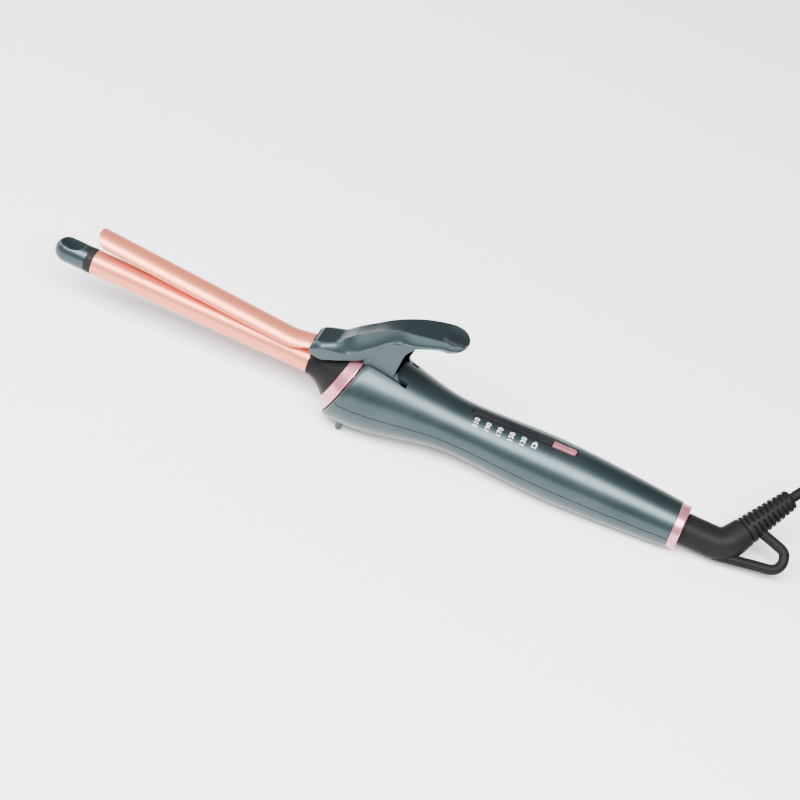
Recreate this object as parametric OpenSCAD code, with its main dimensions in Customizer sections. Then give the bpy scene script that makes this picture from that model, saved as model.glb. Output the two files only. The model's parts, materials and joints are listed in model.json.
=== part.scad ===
// Curling iron with a spring clamp, a temperature slider and a swivel cord.
// The tool is drawn along X: the tip points to -X, the cord leaves at +X, the clamp is at +Z.
// x = 0 is the rear face of the handle. lay_down() then rests it on its two feet and its belly.

/* [Barrel] */
// Outer diameter of the barrel
barrel_d = 13; // [11:0.5:16]
// Length of the bare barrel between the collar and the seal ring
barrel_l = 119.2; // [80:0.2:160]
// Wall of the barrel tube
barrel_wall = 1; // [0.8:0.1:1.4]
// Length of the black seal ring
seal_l = 3.8; // [2:0.2:6]
// Length of the cool tip
tip_l = 18; // [14:0.5:26]

/* [Handle] */
// Length of the handle, from the slanted front joint to the rear face
handle_l = 177.6; // [150:0.2:215]
// Largest radius, just behind the front
front_r = 22.4; // [20:0.1:24]
// Smallest radius, in front of the slider
waist_r = 13.8; // [12.5:0.1:16]
// Radius of the belly under the slider
belly_r = 15.5; // [14.5:0.1:18]
// Radius at the rear end
rear_r = 11.9; // [11.6:0.1:13]
// Distance of the waist from the rear face
waist_at = 117; // [112:1:122]
// Distance of the belly from the rear face
belly_at = 68.6; // [62:0.2:74]
// Wall of the two shells
shell_wall = 2; // [1.6:0.1:2.4]
// Slant of the front joint, leaning back at the top
nose_tilt = 20; // [10:1:22]
// Length of the black collar, from its lip to the pink ring
collar_l = 15.4; // [12:0.2:20]
// Width of the rear trim ring
rear_ring_l = 4.6; // [3:0.2:6]
// How far the rest feet stand below the axis
foot_drop = 23.5; // [23:0.1:27]

/* [Clamp] */
// Gap between the closed blade and the barrel
blade_gap = 0.4; // [0.3:0.05:0.8]
// Sheet thickness of the blade
blade_t = 1.1; // [0.8:0.1:1.5]
// Half of the arc that the blade covers, in degrees
blade_arc = 60; // [45:1:70]
// Distance of the pivot behind the slanted joint
pivot_back = 23.6; // [22:0.2:28]
// Height of the pivot above the barrel axis
pivot_h = 11; // [10.5:0.1:12]
// Angle by which the clamp is open at rest
rest_open = 4.5; // [0:0.5:20]
// Outer width of the lever's cheeks
lever_w = 18; // [16.5:0.5:20]
// Thickness of each cheek
cheek_t = 1.7; // [1.2:0.1:2]
// Diameter of the hinge pin
pin_d = 2.4; // [2:0.1:3]

/* [Slider] */
// Travel of the temperature slider
slide_travel = 40.8; // [30:0.2:42]
// Length of the knob
knob_l = 13.2; // [8:0.2:14]
// Width of the knob
knob_w = 3.6; // [3:0.1:4.4]
// Slope of the slider track against the handle axis
slot_slope = 2; // [0:0.5:3]

/* [Cord] */
// Diameter of the elbow where it leaves the handle
elbow_d = 16.2; // [14:0.1:17]
// Bend of the elbow
elbow_bend = 60; // [40:1:75]
// Direction of the bend about the handle axis, from straight up
elbow_turn = 52; // [0:1:90]
// Length of the sleeve from the bend to its end
sleeve_l = 40.4; // [32:0.2:48]
// Diameter of the cord
cord_d = 5.5; // [5:0.1:6.5]
// Distance between the centres of the plug pins
plug_pitch = 18.6; // [17:0.1:19]

/* [Hidden] */

fine = 96;
medium = 48;
snug = 0.05;          // clearance of a fit
running = 0.05;       // radial clearance of a turning fit
parting = 0.3;        // dark line between the two shells

barrel_r = barrel_d / 2;
barrel_in = barrel_r - barrel_wall;
front_x = -handle_l;                                  // slanted joint, on the axis
ring_t = 5.3;                                         // thickness of the pink front ring
ring_front_r = front_r - 6.3;
ring_rear_r = front_r - 2.3;
rear_ring_r = rear_r - 0.5;                           // the pink ring sits a step inside the shells
collar_x = front_x - ring_t * cos(nose_tilt) - collar_l;   // lip of the collar
barrel_tip_x = collar_x - barrel_l;
tip_x = barrel_tip_x - seal_l - tip_l;
barrel_rear_x = front_x + 12;

// Radius of the handle at x: half a cosine-like ease from the front to the waist and on to the
// belly, then a curve of power 1.5 that narrows to the rear.
front_max_x = front_x + 6.6;
function ease(t) = 3 * t * t - 2 * t * t * t;
function handle_r(x) =
    x <= front_max_x ? front_r
    : x <= -waist_at ? front_r + (waist_r - front_r) * ease((x - front_max_x) / (-waist_at - front_max_x))
    : x <= -belly_at ? waist_r + (belly_r - waist_r) * ease((x + waist_at) / (waist_at - belly_at))
    : belly_r + (rear_r - belly_r) * pow((x + belly_at) / (belly_at - rear_ring_l), 1.5);
shell_front_x = front_x - front_r * tan(nose_tilt) - 1;
shell_rear_x = -rear_ring_l;
shell_steps = 44;
shell_xs = [for (i = [0 : shell_steps])
    front_max_x + (shell_rear_x - front_max_x) * i / shell_steps];

// Resting line: through the feet, tangent to the belly of the handle.
foot_x = front_x + 4.4;
foot_y = 12;
foot_r = 1.8;
floor_slope = min([for (x = shell_xs) if (x > -waist_at) (foot_drop - handle_r(x)) / (x - foot_x)]);
lie = atan(floor_slope);
floor_h = foot_drop * cos(lie) + foot_x * sin(lie);
tip_dome = 7;
low_x = (tip_x + tip_dome) * cos(lie) - norm([tip_dome * cos(lie), barrel_r * sin(lie)]);
mid_x = (low_x + rear_ring_r * sin(lie)) / 2;
module lay_down() translate([-mid_x, 0, floor_h]) rotate([0, lie, 0]) children();

// ---- shared shapes -------------------------------------------------------------------------
module along_x() rotate([0, 90, 0]) children();
module rod_x(x0, x1, r, r2 = -1) translate([x0, 0, 0]) along_x()
    cylinder(h = x1 - x0, r1 = r, r2 = r2 < 0 ? r : r2, $fn = fine);
module rod_y(y0, y1, r) translate([0, y0, 0]) rotate([-90, 0, 0])
    cylinder(h = y1 - y0, r = r, $fn = medium);
// Profile of [x, radius] points turned about the X axis.
module turn_x(profile) rotate([0, 90, 0])
    rotate_extrude($fn = fine) polygon([for (p = profile) [p[1], p[0]]]);
// Flat slot with round ends, its length along X.
module stadium(l, w, h) linear_extrude(height = h) union() {
    square([l - w, w], center = true);
    for (s = [-1, 1]) translate([s * (l - w) / 2, 0]) circle(d = w, $fn = medium);
}
// Solid through a row of rings that have the same number of points.
module loft(rings) {
    n = len(rings[0]);
    m = len(rings);
    polyhedron(points = [for (r = rings) each r], convexity = 6, faces = concat(
        [[for (j = [0 : n - 1]) j]],
        [[for (j = [0 : n - 1]) (m - 1) * n + n - 1 - j]],
        [for (i = [0 : m - 2], j = [0 : n - 1])
            [i * n + j, (i + 1) * n + j, (i + 1) * n + (j + 1) % n, i * n + (j + 1) % n]]));
}
// Ring of points square to the path at point i, and a tube swept along the path.
function unit(v) = v / norm(v);
function heading(path, i) = unit(path[min(i + 1, len(path) - 1)] - path[max(i - 1, 0)]);
function side_of(d) = unit(abs(d[2]) > 0.9 ? cross(d, [1, 0, 0]) : cross(d, [0, 0, 1]));
function tube_ring(p, d, r, n) = let (a = side_of(d), b = cross(d, a))
    [for (j = [0 : n - 1]) p + r * (cos(360 * j / n) * a + sin(360 * j / n) * b)];
module sweep(path, r, n = 8)
    loft([for (i = [0 : len(path) - 1]) tube_ring(path[i], heading(path, i), r, n)]);
// Smooth curve through points: each span is a cubic whose end slopes follow the neighbours.
function span(a, b, c, d, t) = 0.5 * (2 * b + (c - a) * t + (2 * a - 5 * b + 4 * c - d) * t * t
    + (3 * b - a - 3 * c + d) * t * t * t);
function smooth(pts, k) = let (m = len(pts) - 1) concat([for (i = [0 : m - 1], s = [0 : k - 1])
    span(pts[max(i - 1, 0)], pts[i], pts[i + 1], pts[min(i + 2, m)], s / k)], [pts[m]]);
// Value at x of a smooth curve through [x, value] points.
function value_at(pts, x, i = 0) = i >= len(pts) - 2 || x <= pts[i + 1][0]
    ? let (m = len(pts) - 1, t = (x - pts[i][0]) / (pts[i + 1][0] - pts[i][0]))
        span(pts[max(i - 1, 0)][1], pts[i][1], pts[i + 1][1], pts[min(i + 2, m)][1], t)
    : value_at(pts, x, i + 1);
// Frame of the slanted front joint: its X is square to the joint.
module nose_frame() translate([front_x, 0, 0]) rotate([0, nose_tilt, 0]) children();

// ---- barrel and heater ---------------------------------------------------------------------
core_r = barrel_in - 0.1;
chip_t = 2.1;
plate_t = 0.4;
film_t = 0.2;
chip_w = 6.4;
pocket_h = chip_t + 2 * plate_t + 2 * film_t;
pocket_w = chip_w + 2 * film_t;
plug_l = 8;
core_x0 = barrel_tip_x + plug_l + 1;
core_x1 = collar_x - 3;
chip_l = 24;
chip_gap = 4;

module barrel_tube() color([0.95, 0.72, 0.64]) difference() {
    rod_x(barrel_tip_x, barrel_rear_x, barrel_r);
    rod_x(barrel_tip_x - 1, barrel_rear_x + 1, barrel_in);
}
module heater_core(side) color("silver") difference() {
    intersection() {
        rod_x(core_x0, core_x1, core_r);
        translate([core_x0 - 1, -10, side > 0 ? 0.1 : -20.1]) cube([core_x1 - core_x0 + 2, 20, 20]);
    }
    translate([core_x0 - 1, -pocket_w / 2 - snug, -pocket_h / 2 - snug])
        cube([core_x1 - core_x0 + 2, pocket_w + 2 * snug, pocket_h + 2 * snug]);
    if (side > 0) translate([core_x0 + 30, 0, 0]) cylinder(h = 10, r = 1.1, $fn = medium);
}
module ptc_chips() color("dimgray")
    for (i = [0 : 2]) translate([core_x0 + 10 + i * (chip_l + chip_gap), -chip_w / 2, -chip_t / 2])
        cube([chip_l, chip_w, chip_t]);
module electrode_plates() color("gold") for (s = [-1, 1])
    translate([core_x0 + 6, -chip_w / 2, s > 0 ? chip_t / 2 : -chip_t / 2 - plate_t])
        cube([core_x1 - core_x0 - 6, chip_w, plate_t]);
module insulating_film() color([0.8, 0.5, 0.15]) difference() {
    translate([core_x0 + 2, -pocket_w / 2, -pocket_h / 2])
        cube([core_x1 - core_x0 - 2, pocket_w, pocket_h]);
    translate([core_x0 + 1, -chip_w / 2 - snug / 2, -chip_t / 2 - plate_t - snug / 2])
        cube([core_x1 - core_x0, chip_w + snug, chip_t + 2 * plate_t + snug]);
}
module temperature_sensor() color("orangered") translate([core_x0 + 30, 0, pocket_h / 2 + snug + 0.1]) {
    cylinder(h = barrel_in - pocket_h / 2 - 0.5, r = 0.9, $fn = medium);
}
module thermal_fuse() color("white") {
    translate([0, 0, 2.6]) rod_x(core_x1 + 3, core_x1 + 13, 1.6);
    translate([0, 0, 2.6]) rod_x(core_x1 + 1, core_x1 + 20, 0.4);
}
module tip_plug() color([0.9, 0.88, 0.82]) difference() {
    rod_x(barrel_tip_x, barrel_tip_x + plug_l, barrel_in - snug);
    rod_x(barrel_tip_x - 1, barrel_tip_x + plug_l + 1, 1.3);
    rod_x(barrel_tip_x + plug_l - 2.4, barrel_tip_x + plug_l + 1, 2.6);
}
module tip_screw() color("lightgray") {
    rod_x(barrel_tip_x - seal_l - 6, barrel_tip_x + plug_l - 2.2, 1.2);
    rod_x(barrel_tip_x + plug_l - 2.3, barrel_tip_x + plug_l - 0.4, 2.3);
}
module tip_seal_ring() color([0.1, 0.1, 0.11]) difference() {
    turn_x([[barrel_tip_x - seal_l, 0], [barrel_tip_x - seal_l, barrel_r - 0.2],
        [barrel_tip_x - seal_l + 0.3, barrel_r], [barrel_tip_x - 0.3, barrel_r + 0.1],
        [barrel_tip_x, barrel_r - 0.1], [barrel_tip_x, 0]]);
    rod_x(barrel_tip_x - seal_l - 1, barrel_tip_x + 1, 1.3);
}
module cool_tip() color([0.4, 0.5, 0.51]) difference() {
    turn_x(concat([[barrel_tip_x - seal_l, 0]], [[barrel_tip_x - seal_l, barrel_r - 0.15]],
        [[barrel_tip_x - seal_l - 0.15, barrel_r]],
        [for (a = [0 : 9 : 90]) [tip_x + tip_dome - tip_dome * sin(a), barrel_r * cos(a)]]));
    rod_x(barrel_tip_x - seal_l - 7, barrel_tip_x, 1.2);
    // thumb dimple on the top
    translate([tip_x + 8, 0, barrel_r + 11.2]) sphere(r = 13, $fn = fine);
}

// ---- front of the handle -------------------------------------------------------------------
collar_steps = 12;
collar_lip_r = barrel_r + 0.6;
function collar_ring(t) = let (r = collar_lip_r + (ring_front_r - collar_lip_r) * pow(t, 1.5),
        a = nose_tilt * t, c = [collar_x + collar_l * t, 0, ring_t * sin(nose_tilt) * t])
    [for (j = [0 : 47]) c + r * [sin(a) * cos(7.5 * j), -sin(7.5 * j), cos(a) * cos(7.5 * j)]];
module front_collar() color([0.13, 0.13, 0.14]) difference() {
    union() {
        loft([for (i = [0 : collar_steps]) collar_ring(i / collar_steps)]);
        nose_frame() rod_x(-ring_t - 1, 2, ring_front_r - 3);
    }
    rod_x(collar_x - 1, front_x + 30, barrel_r + snug);
    cheek_slots();
}
module collar_trim_ring() color([0.87, 0.6, 0.66]) difference() {
    nose_frame() difference() {
        union() {
            rod_x(-ring_t, 0, ring_front_r, ring_rear_r);
            rod_x(-0.5, 2, ring_rear_r - 3.2);
        }
        rod_x(-ring_t - 1, 3, ring_front_r - 3 + snug);
    }
    cheek_slots();
}
holder_x0 = front_x + 6;
module barrel_holder() color([0.55, 0.5, 0.42]) difference() {
    union() {
        rod_x(holder_x0, holder_x0 + 9, barrel_r + 3);
        translate([holder_x0, -3, -front_r + shell_wall + 1.2])
            cube([6, 6, front_r - shell_wall - barrel_r]);
    }
    rod_x(holder_x0 - 1, holder_x0 + 14, barrel_r + snug);
    cheek_slots();
}

// ---- handle shells -------------------------------------------------------------------------
shell_outline = concat([[shell_front_x, handle_r(shell_front_x)]], [for (x = shell_xs) [x, handle_r(x)]]);
shell_bore = concat([[shell_front_x - 1, front_r - shell_wall]],
    [for (x = shell_xs) [x, handle_r(x) - shell_wall]], [[1, rear_r - shell_wall]]);
screw_xs = [-waist_at - 12, -belly_at + 26];
module handle_solid() turn_x(concat([[shell_front_x, 0]], shell_outline, [[shell_rear_x, 0]]));
module handle_room() turn_x(concat([[shell_front_x - 1, 0]], shell_bore, [[1, 0]]));
// Body whose front face is the slanted joint with a rounded rim.
rim_r = 3.4;
module rounded_front() {
    nose_frame() turn_x(concat([[0, 0]],
        [for (a = [0 : 15 : 90]) [rim_r - rim_r * cos(a), ring_rear_r + 0.2 + (rim_r + 0.4) * sin(a)]],
        [[30, front_r + 8], [30, 0]]));
    translate([front_x + 12.5, -50, -50]) cube([handle_l, 100, 100]);
}
module handle_wall() difference() {
    intersection() { handle_solid(); rounded_front(); }
    handle_room();
}
module lower_shell() color([0.4, 0.5, 0.51]) difference() {
    union() {
        intersection() {
            union() {
                handle_wall();
                for (x = screw_xs) intersection() {
                    translate([x, 0, -front_r]) cylinder(h = front_r - 1.2, r = 3.6, $fn = medium);
                    handle_solid();
                }
                for (x = [board_x0 + 3, board_x1 - 6]) intersection() {
                    translate([x, -8, -20]) cube([3, 16, 20 + board_z]);
                    handle_solid();
                }
            }
            translate([-400, -50, -100 - parting / 2]) cube([500, 100, 100]);
        }
        for (s = [-1, 1]) translate([foot_x, s * foot_y, -foot_drop + foot_r]) {
            sphere(r = foot_r, $fn = medium);
            cylinder(h = foot_drop - foot_r - sqrt(pow(front_r - 1, 2) - foot_y * foot_y),
                r = foot_r, $fn = medium);
        }
    }
    for (x = screw_xs) translate([x, 0, 0]) {
        translate([0, 0, -front_r - 1]) cylinder(h = front_r + 2, r = 1.3, $fn = medium);
        translate([0, 0, -handle_r(x) - 2]) cylinder(h = 6.2, r = 2.3, $fn = medium);
    }
}
module upper_shell() color([0.4, 0.5, 0.51]) difference() {
    union() {
        intersection() {
            union() {
                handle_wall();
                for (x = screw_xs) intersection() {
                    translate([x, 0, 1]) cylinder(h = front_r, r = 3.2, $fn = medium);
                    handle_solid();
                }
                for (s = [-1, 1]) intersection() {
                    translate([pivot_x - 4, s * (ear_y + 3) - 3, pivot_h - 5]) cube([8, 6, 20]);
                    handle_solid();
                }
            }
            translate([-400, -50, parting / 2]) cube([500, 100, 100]);
        }
    }
    cheek_slots();
    pivot() rod_y(-ear_y - 4, ear_y + 4, pin_d / 2);
    for (x = screw_xs) translate([x, 0, 0.5]) cylinder(h = 8, r = 1.05, $fn = medium);
    slide_frame() translate([slot_mid, 0, -6]) stadium(slot_l + 0.6, slot_w + 1.4, 12);
}
module shell_screws() color("lightgray") for (x = screw_xs) translate([x, 0, 0]) {
    translate([0, 0, -handle_r(x) + 2.4]) cylinder(h = 1.8, r = 2.1, $fn = medium);
    translate([0, 0, -handle_r(x) + 4.1]) cylinder(h = handle_r(x) + 3.5, r = 1, $fn = medium);
}
module rear_trim_ring() color([0.9, 0.62, 0.68]) difference() {
    turn_x([[-rear_ring_l, 0], [-rear_ring_l, rear_ring_r], [-0.6, rear_ring_r + 0.05],
        [-0.15, rear_ring_r - 0.15], [0, rear_ring_r - 0.6], [0, 0]]);
    rod_x(-rear_ring_l - 1, 1, elbow_d / 2 + 0.4);
}
// ---- hinge ---------------------------------------------------------------------------------
pivot_x = front_x + pivot_back;
cheek_out = lever_w / 2;
cheek_in = cheek_out - cheek_t;
ear_y = cheek_out + 0.8;
module pivot() translate([pivot_x, 0, pivot_h]) children();
module clamp_turn(a) pivot() rotate([0, a, 0]) translate([-pivot_x, 0, -pivot_h]) children();
// Lower edge of the cheeks, closed, as [x, z] from the pivot.
cheek_edge = [[-46, -1.6], [-42, -2.7], [-38, -3.6], [-33.7, -1.6], [-26, 3], [-18.6, 8.2]];
// Room that the cheeks need in the handle and the collar, over the whole travel.
module cheek_slots() pivot() for (s = [-1, 1]) translate([0, s * (cheek_out + cheek_in) / 2, 0])
    rotate([90, 0, 0]) linear_extrude(height = cheek_t + 0.8, center = true)
        polygon(concat([[-60, -2.1]], [for (p = cheek_edge) p - [0, 0.5]],
            [[-15, -6.6], [6.6, -6.6], [6.6, 40], [-60, 40]]));
module hinge_pin() color("lightgray") pivot() rod_y(-ear_y - 3, ear_y + 3, pin_d / 2);
spring_turns = 5;
spring_r = 3.4;
spring_wire = 0.45;
spring_path = concat([[-14, -2.6, 3.4], [-9, -2.6, 3.4], [-4, -2.6, 3.4]],
    [for (i = [0 : spring_turns * 16]) let (a = 90 - i * 22.5)
        [spring_r * cos(a), -2.6 + 5.2 * i / (spring_turns * 16), spring_r * sin(a)]],
    [[-4, 2.6, 4.8], [-7, 2.6, 6.4], [-10, 2.6, 8]]);
module clamp_spring() color("silver") pivot() sweep(spring_path, spring_wire, 6);

// ---- clamp ---------------------------------------------------------------------------------
blade_in = barrel_r + blade_gap;
blade_tip_x = barrel_tip_x - 0.1;
blade_nose = 7;
bend_x = front_x - 32;
tab_x = front_x - 10.5;
tab_slope = 0.3;
function blade_lift(x) = x < bend_x - 4 ? 0
    : x < bend_x + 4 ? tab_slope * pow(x - bend_x + 4, 2) / 16 : tab_slope * (x - bend_x);
// Half arc of the blade: it narrows in a half ellipse at the tip and a little towards its tab.
function blade_half(x) = x < blade_tip_x + blade_nose
    ? max(blade_arc * sqrt(1 - pow((blade_tip_x + blade_nose - x) / blade_nose, 2)), 6)
    : blade_arc - (x > bend_x ? 14 * ease(min((x - bend_x) / 12, 1)) : 0);
blade_stations = concat([for (a = [0 : 15 : 75]) blade_tip_x + blade_nose - blade_nose * cos(a)],
    [blade_tip_x + blade_nose, blade_tip_x + 35, blade_tip_x + 65, bend_x - 12],
    [for (i = [0 : 6]) bend_x - 4 + i * 8 / 6], [bend_x + 8, bend_x + 12, tab_x]);
blade_pts = 10;
function blade_ring(x) = let (h = blade_half(x), c = [x, 0, blade_lift(x)]) concat(
    [for (j = [0 : blade_pts]) let (a = h - 2 * h * j / blade_pts)
        c + (blade_in + blade_t) * [0, sin(a), cos(a)]],
    [for (j = [0 : blade_pts]) let (a = -h + 2 * h * j / blade_pts)
        c + blade_in * [0, sin(a), cos(a)]]);
clamp_screw_xs = [tab_x - 7.6, tab_x - 3.4];
module clamp_blade() color([0.95, 0.72, 0.64]) clamp_turn(rest_open) difference() {
    loft([for (x = blade_stations) blade_ring(x)]);
    for (x = clamp_screw_xs) translate([x, 0, 0]) cylinder(h = 30, r = 1.05, $fn = medium);
}
// Top line of the lever, half width of its top face, line of the cheek's upper edge and lower
// edge of the skin, closed, each as [x, value] from the pivot.
lever_top = [[-45, 2.6], [-43.4, 4.2], [-33.8, 9.1], [-26.9, 16.8], [-19.9, 23.6], [-13.4, 29.6],
    [-6.7, 34], [1.1, 37.5], [9, 40.5], [17.5, 42.6], [24.4, 41.6]];
lever_top_half = [[-45, 4], [-42, 5], [-33, 4.9], [-20, 4.4], [-12, 4.7], [-6, 5.6], [1, 6.9], [9, 7.4], [24.4, 7.4]];
lever_band = [[-45, -1], [-40, 3], [-30, 6.2], [-24, 9.6], [-16, 17.6], [-8, 26.8], [1, 31.2], [9, 35.4], [24.4, 39.6]];
lever_low = [[-45, -2.6], [-42, -3.3], [-38, -3.6], [-33.7, -1.6], [-26, 3], [-18.6, 8.2],
    [-9, 19], [2.6, 29.7], [6.3, 32.8], [12.6, 36.4], [19.3, 38.1], [24.4, 39.6]];
lever_end_x = 24.4;
lever_end_r = 8.2;
lever_roof = 1.8;
function lever_round(x) = x > lever_end_x - lever_end_r
    ? sqrt(max(1 - pow((x - lever_end_x + lever_end_r) / lever_end_r, 2), 0.02))
    : x < -41 ? 0.88 + 0.12 * sqrt(1 - pow((x + 41) / 4, 2)) : 1;
function lever_ring(x) = let (top = value_at(lever_top, x), k = lever_round(x),
        w = value_at(lever_top_half, x) * k, low = value_at(lever_low, x),
        out = cheek_out * k, room = cheek_in * k, in_w = x > 2 ? out * 0.6 : room,
        in_z = x > 2 ? low + 0.8
            : max(top - lever_roof, low + 0.4, min(top - 0.5, clamp_seat(pivot_x + x) - pivot_h)),
        band = min(max(value_at(lever_band, x), low + 0.8), top - 0.9),
        half = [[0, top], [w * 0.6, top - 0.1], [w, top - 0.5],
            [w + (out - w) * 0.3, top - 0.5 - (top - 0.5 - band) * 0.5],
            [w + (out - w) * 0.7, top - 0.5 - (top - 0.5 - band) * 0.82],
            [out, band], [out, low], [in_w, low],
            [in_w * 0.96, max(low + 0.2, min(band, in_z - 0.2))], [min(w, in_w) * 0.8, in_z], [0, in_z]])
    concat([for (p = half) [x, -p[0], p[1]]],
        [for (i = [len(half) - 2 : -1 : 1]) [x, half[i][0], half[i][1]]]);
lever_stations = concat([for (x = [-45, -44, -42, -40, -38]) x], [for (x = [-34 : 4 : 14]) x],
    [for (a = [0 : 15 : 75]) lever_end_x - lever_end_r + lever_end_r * sin(a)], [lever_end_x]);
arm_outline = [[-18.8, 8.4], [-15, 1], [-9, -4.2], [-4, -5.8], [0, -6], [4, -4.6], [5.6, -1],
    [4.6, 3.4], [1.6, 7.4], [-0.4, 11], [-1, 17.2], [-0.4, 24.7], [3, 30.6], [-4, 30], [-11, 21]];
module lever() color([0.4, 0.5, 0.51]) clamp_turn(rest_open) pivot() difference() {
    union() {
        loft([for (x = lever_stations) lever_ring(x)]);
        for (s = [-1, 1]) translate([0, s * (cheek_out + cheek_in) / 2, 0]) rotate([90, 0, 0])
            linear_extrude(height = cheek_t, center = true) polygon(arm_outline);
        for (x = clamp_screw_xs) translate([x - pivot_x, 0, clamp_seat(x) - pivot_h])
            cylinder(h = value_at(lever_top, x - pivot_x) - clamp_seat(x) + pivot_h - 1.2, r = 1.9, $fn = medium);
    }
    rod_y(-20, 20, pin_d / 2 + running);
    for (x = clamp_screw_xs) translate([x - pivot_x, 0, clamp_seat(x) - pivot_h - 1])
        cylinder(h = 2.8, r = 0.95, $fn = medium);
    // thumb dimple
    translate([16, 0, 42 + 16.4]) sphere(r = 18, $fn = fine);
}
function clamp_seat(x) = blade_lift(x) + blade_in + blade_t + 0.35;
module clamp_screws() color("lightgray") clamp_turn(rest_open) for (x = clamp_screw_xs)
    translate([x, 0, blade_lift(x) + blade_in]) {
        translate([0, 0, -1.7]) cylinder(h = 0.9, r = 1.6, $fn = medium);
        translate([0, 0, -0.9]) cylinder(h = 3.6, r = 0.85, $fn = medium);
    }

// ---- slider --------------------------------------------------------------------------------
slide_x = -belly_at + 1.6;                             // middle of the knob at rest
slot_end_gap = 0.3;
slot_w = knob_w + 0.6;
slot_l = slide_travel + knob_l + 2 * slot_end_gap;
slot_mid = -slide_travel / 2;
track_t = 2.6;
module slide_frame() translate([slide_x, 0, handle_r(slide_x)]) rotate([0, -slot_slope, 0]) children();
module slider_track() color([0.05, 0.05, 0.06]) slide_frame() difference() {
    translate([slot_mid, 0, -0.9 - track_t]) union() {
        stadium(slot_l + 0.4, slot_w + 1.2, track_t);
    }
    translate([slot_mid, 0, -2.1]) stadium(slot_l, slot_w, 4);
    translate([slot_mid, 0, -6]) stadium(slide_travel + 9.2, 1.7, 8);
}
module slider_knob() color([0.92, 0.66, 0.72]) slide_frame() difference() {
    translate([0, 0, -1.8]) stadium(knob_l, knob_w, 2.2);
    for (i = [-2 : 2]) translate([i * 1.6 - 0.25, -3, 0.2]) cube([0.5, 6, 1]);
}
module slider_carriage() color([0.15, 0.15, 0.16]) slide_frame() {
    translate([-4, -0.5, -5]) cube([8, 1, 3.2]);
    translate([-5, -2.6, -5.6]) cube([10, 5.2, 1.4]);
    translate([-1.5, -0.5, -12.6]) cube([3, 1, 7.2]);
}

// ---- electronics ---------------------------------------------------------------------------
board_x0 = slide_x - slide_travel - 12;
board_x1 = slide_x + 14;
board_w = 17;
board_z = -5.6;
board_t = 1.6;
pot_top = 3.4;
module circuit_board() color([0.1, 0.35, 0.2]) difference() {
    translate([board_x0, -board_w / 2, board_z]) cube([board_x1 - board_x0, board_w, board_t]);
    for (x = [board_x0 + 4.5, board_x1 - 4.5], y = [-6, 6])
        translate([x, y, board_z - 1]) cylinder(h = 4, r = 0.8, $fn = medium);
}
module slide_potentiometer() color("silver") difference() {
    translate([slide_x - slide_travel - 6, -3.5, board_z + board_t])
        cube([slide_travel + 12, 7, pot_top - board_z - board_t]);
    translate([slide_x - slide_travel - 3, -0.9, 0]) cube([slide_travel + 6, 1.8, 20]);
}
module control_chip() color([0.08, 0.08, 0.08]) translate([board_x1 - 12, -3, board_z + board_t]) {
    translate([5, 0, 0]) cube([5, 6.2, 1.6]);
}
module triac() color([0.12, 0.12, 0.12]) translate([board_x0 + 8, 4.2, board_z + board_t])
    cube([9, 3.8, 6.4]);
module film_capacitor() color([0.75, 0.6, 0.2]) translate([board_x0 + 24, -8, board_z + board_t])
    cube([10, 3.6, 5.6]);
lead_r = 0.9;
module heater_leads() color("white") for (s = [-1, 1])
    sweep(smooth([[core_x1 + 1, s * 2.4, -2.6], [barrel_rear_x - 4, s * 2.6, -2.6],
        [barrel_rear_x + 6, s * 3, -3], [-waist_at - 24, s * 5, -5], [-waist_at - 12, s * 6.2, -6],
        [board_x0 - 2.5, s * 6, -4.8], [board_x0 - 0.1, s * 6, -4.8]], 4), lead_r);
module mains_leads() color("black") for (s = [-1, 1])
    sweep(smooth([[board_x1 + 0.1, s * 5.5, -4.8], [board_x1 + 4, s * 5.6, -4.8], [-belly_at + 26, s * 5.8, -2],
        [-34, s * 5, 0], [carrier_x0 - 0.1, s * 5, 0]], 4), lead_r);

// ---- swivel joint of the cord --------------------------------------------------------------
carrier_x0 = -25;
carrier_r = rear_r - shell_wall - 0.3;
hub_stub_r = 3.6;
hub_r = 5.2;
flange_r = 6.9;
ring_xs = [-19.4, -15.4];
module contact_carrier() color([0.85, 0.85, 0.8]) difference() {
    rod_x(carrier_x0, -7.2, carrier_r);
    rod_x(-22, -7, flange_r + 0.5);
    rod_x(carrier_x0 - 1, 0, hub_stub_r + running);
}
module swivel_retainer() color([0.75, 0.75, 0.7]) difference() {
    rod_x(-7.2, -5, carrier_r);
    rod_x(-8, -4, hub_r + running);
}
module brush_contacts() color("goldenrod") for (x = ring_xs)
    translate([x - 0.7, -1, hub_r + 0.5]) cube([1.4, 2, flange_r - hub_r - 0.15]);
module swivel_hub() color([0.2, 0.2, 0.22]) {
    rod_x(carrier_x0 + 0.4, -21.6, hub_stub_r);
    rod_x(-21.6, elbow_in, hub_r);
    rod_x(-11, -7.6, flange_r);
}
elbow_in = -0.4;
module slip_rings() color("goldenrod") for (x = ring_xs) difference() {
    rod_x(x - 1.3, x + 1.3, hub_r + 0.4);
    rod_x(x - 2, x + 2, hub_r);
}

// ---- strain relief -------------------------------------------------------------------------
bend_at = 21;
bend_r = 10;
sleeve_r0 = 7.2;
sleeve_r1 = 5.2;
groove_n = 9;
groove_pitch = 2.75;
groove_w = 1.1;
groove_start = 14;
strut_r = 2.6;
// Frame of the elbow's plane: its Z is the side that the sleeve leans to.
module elbow_plane() rotate([-elbow_turn, 0, 0]) children();
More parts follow.
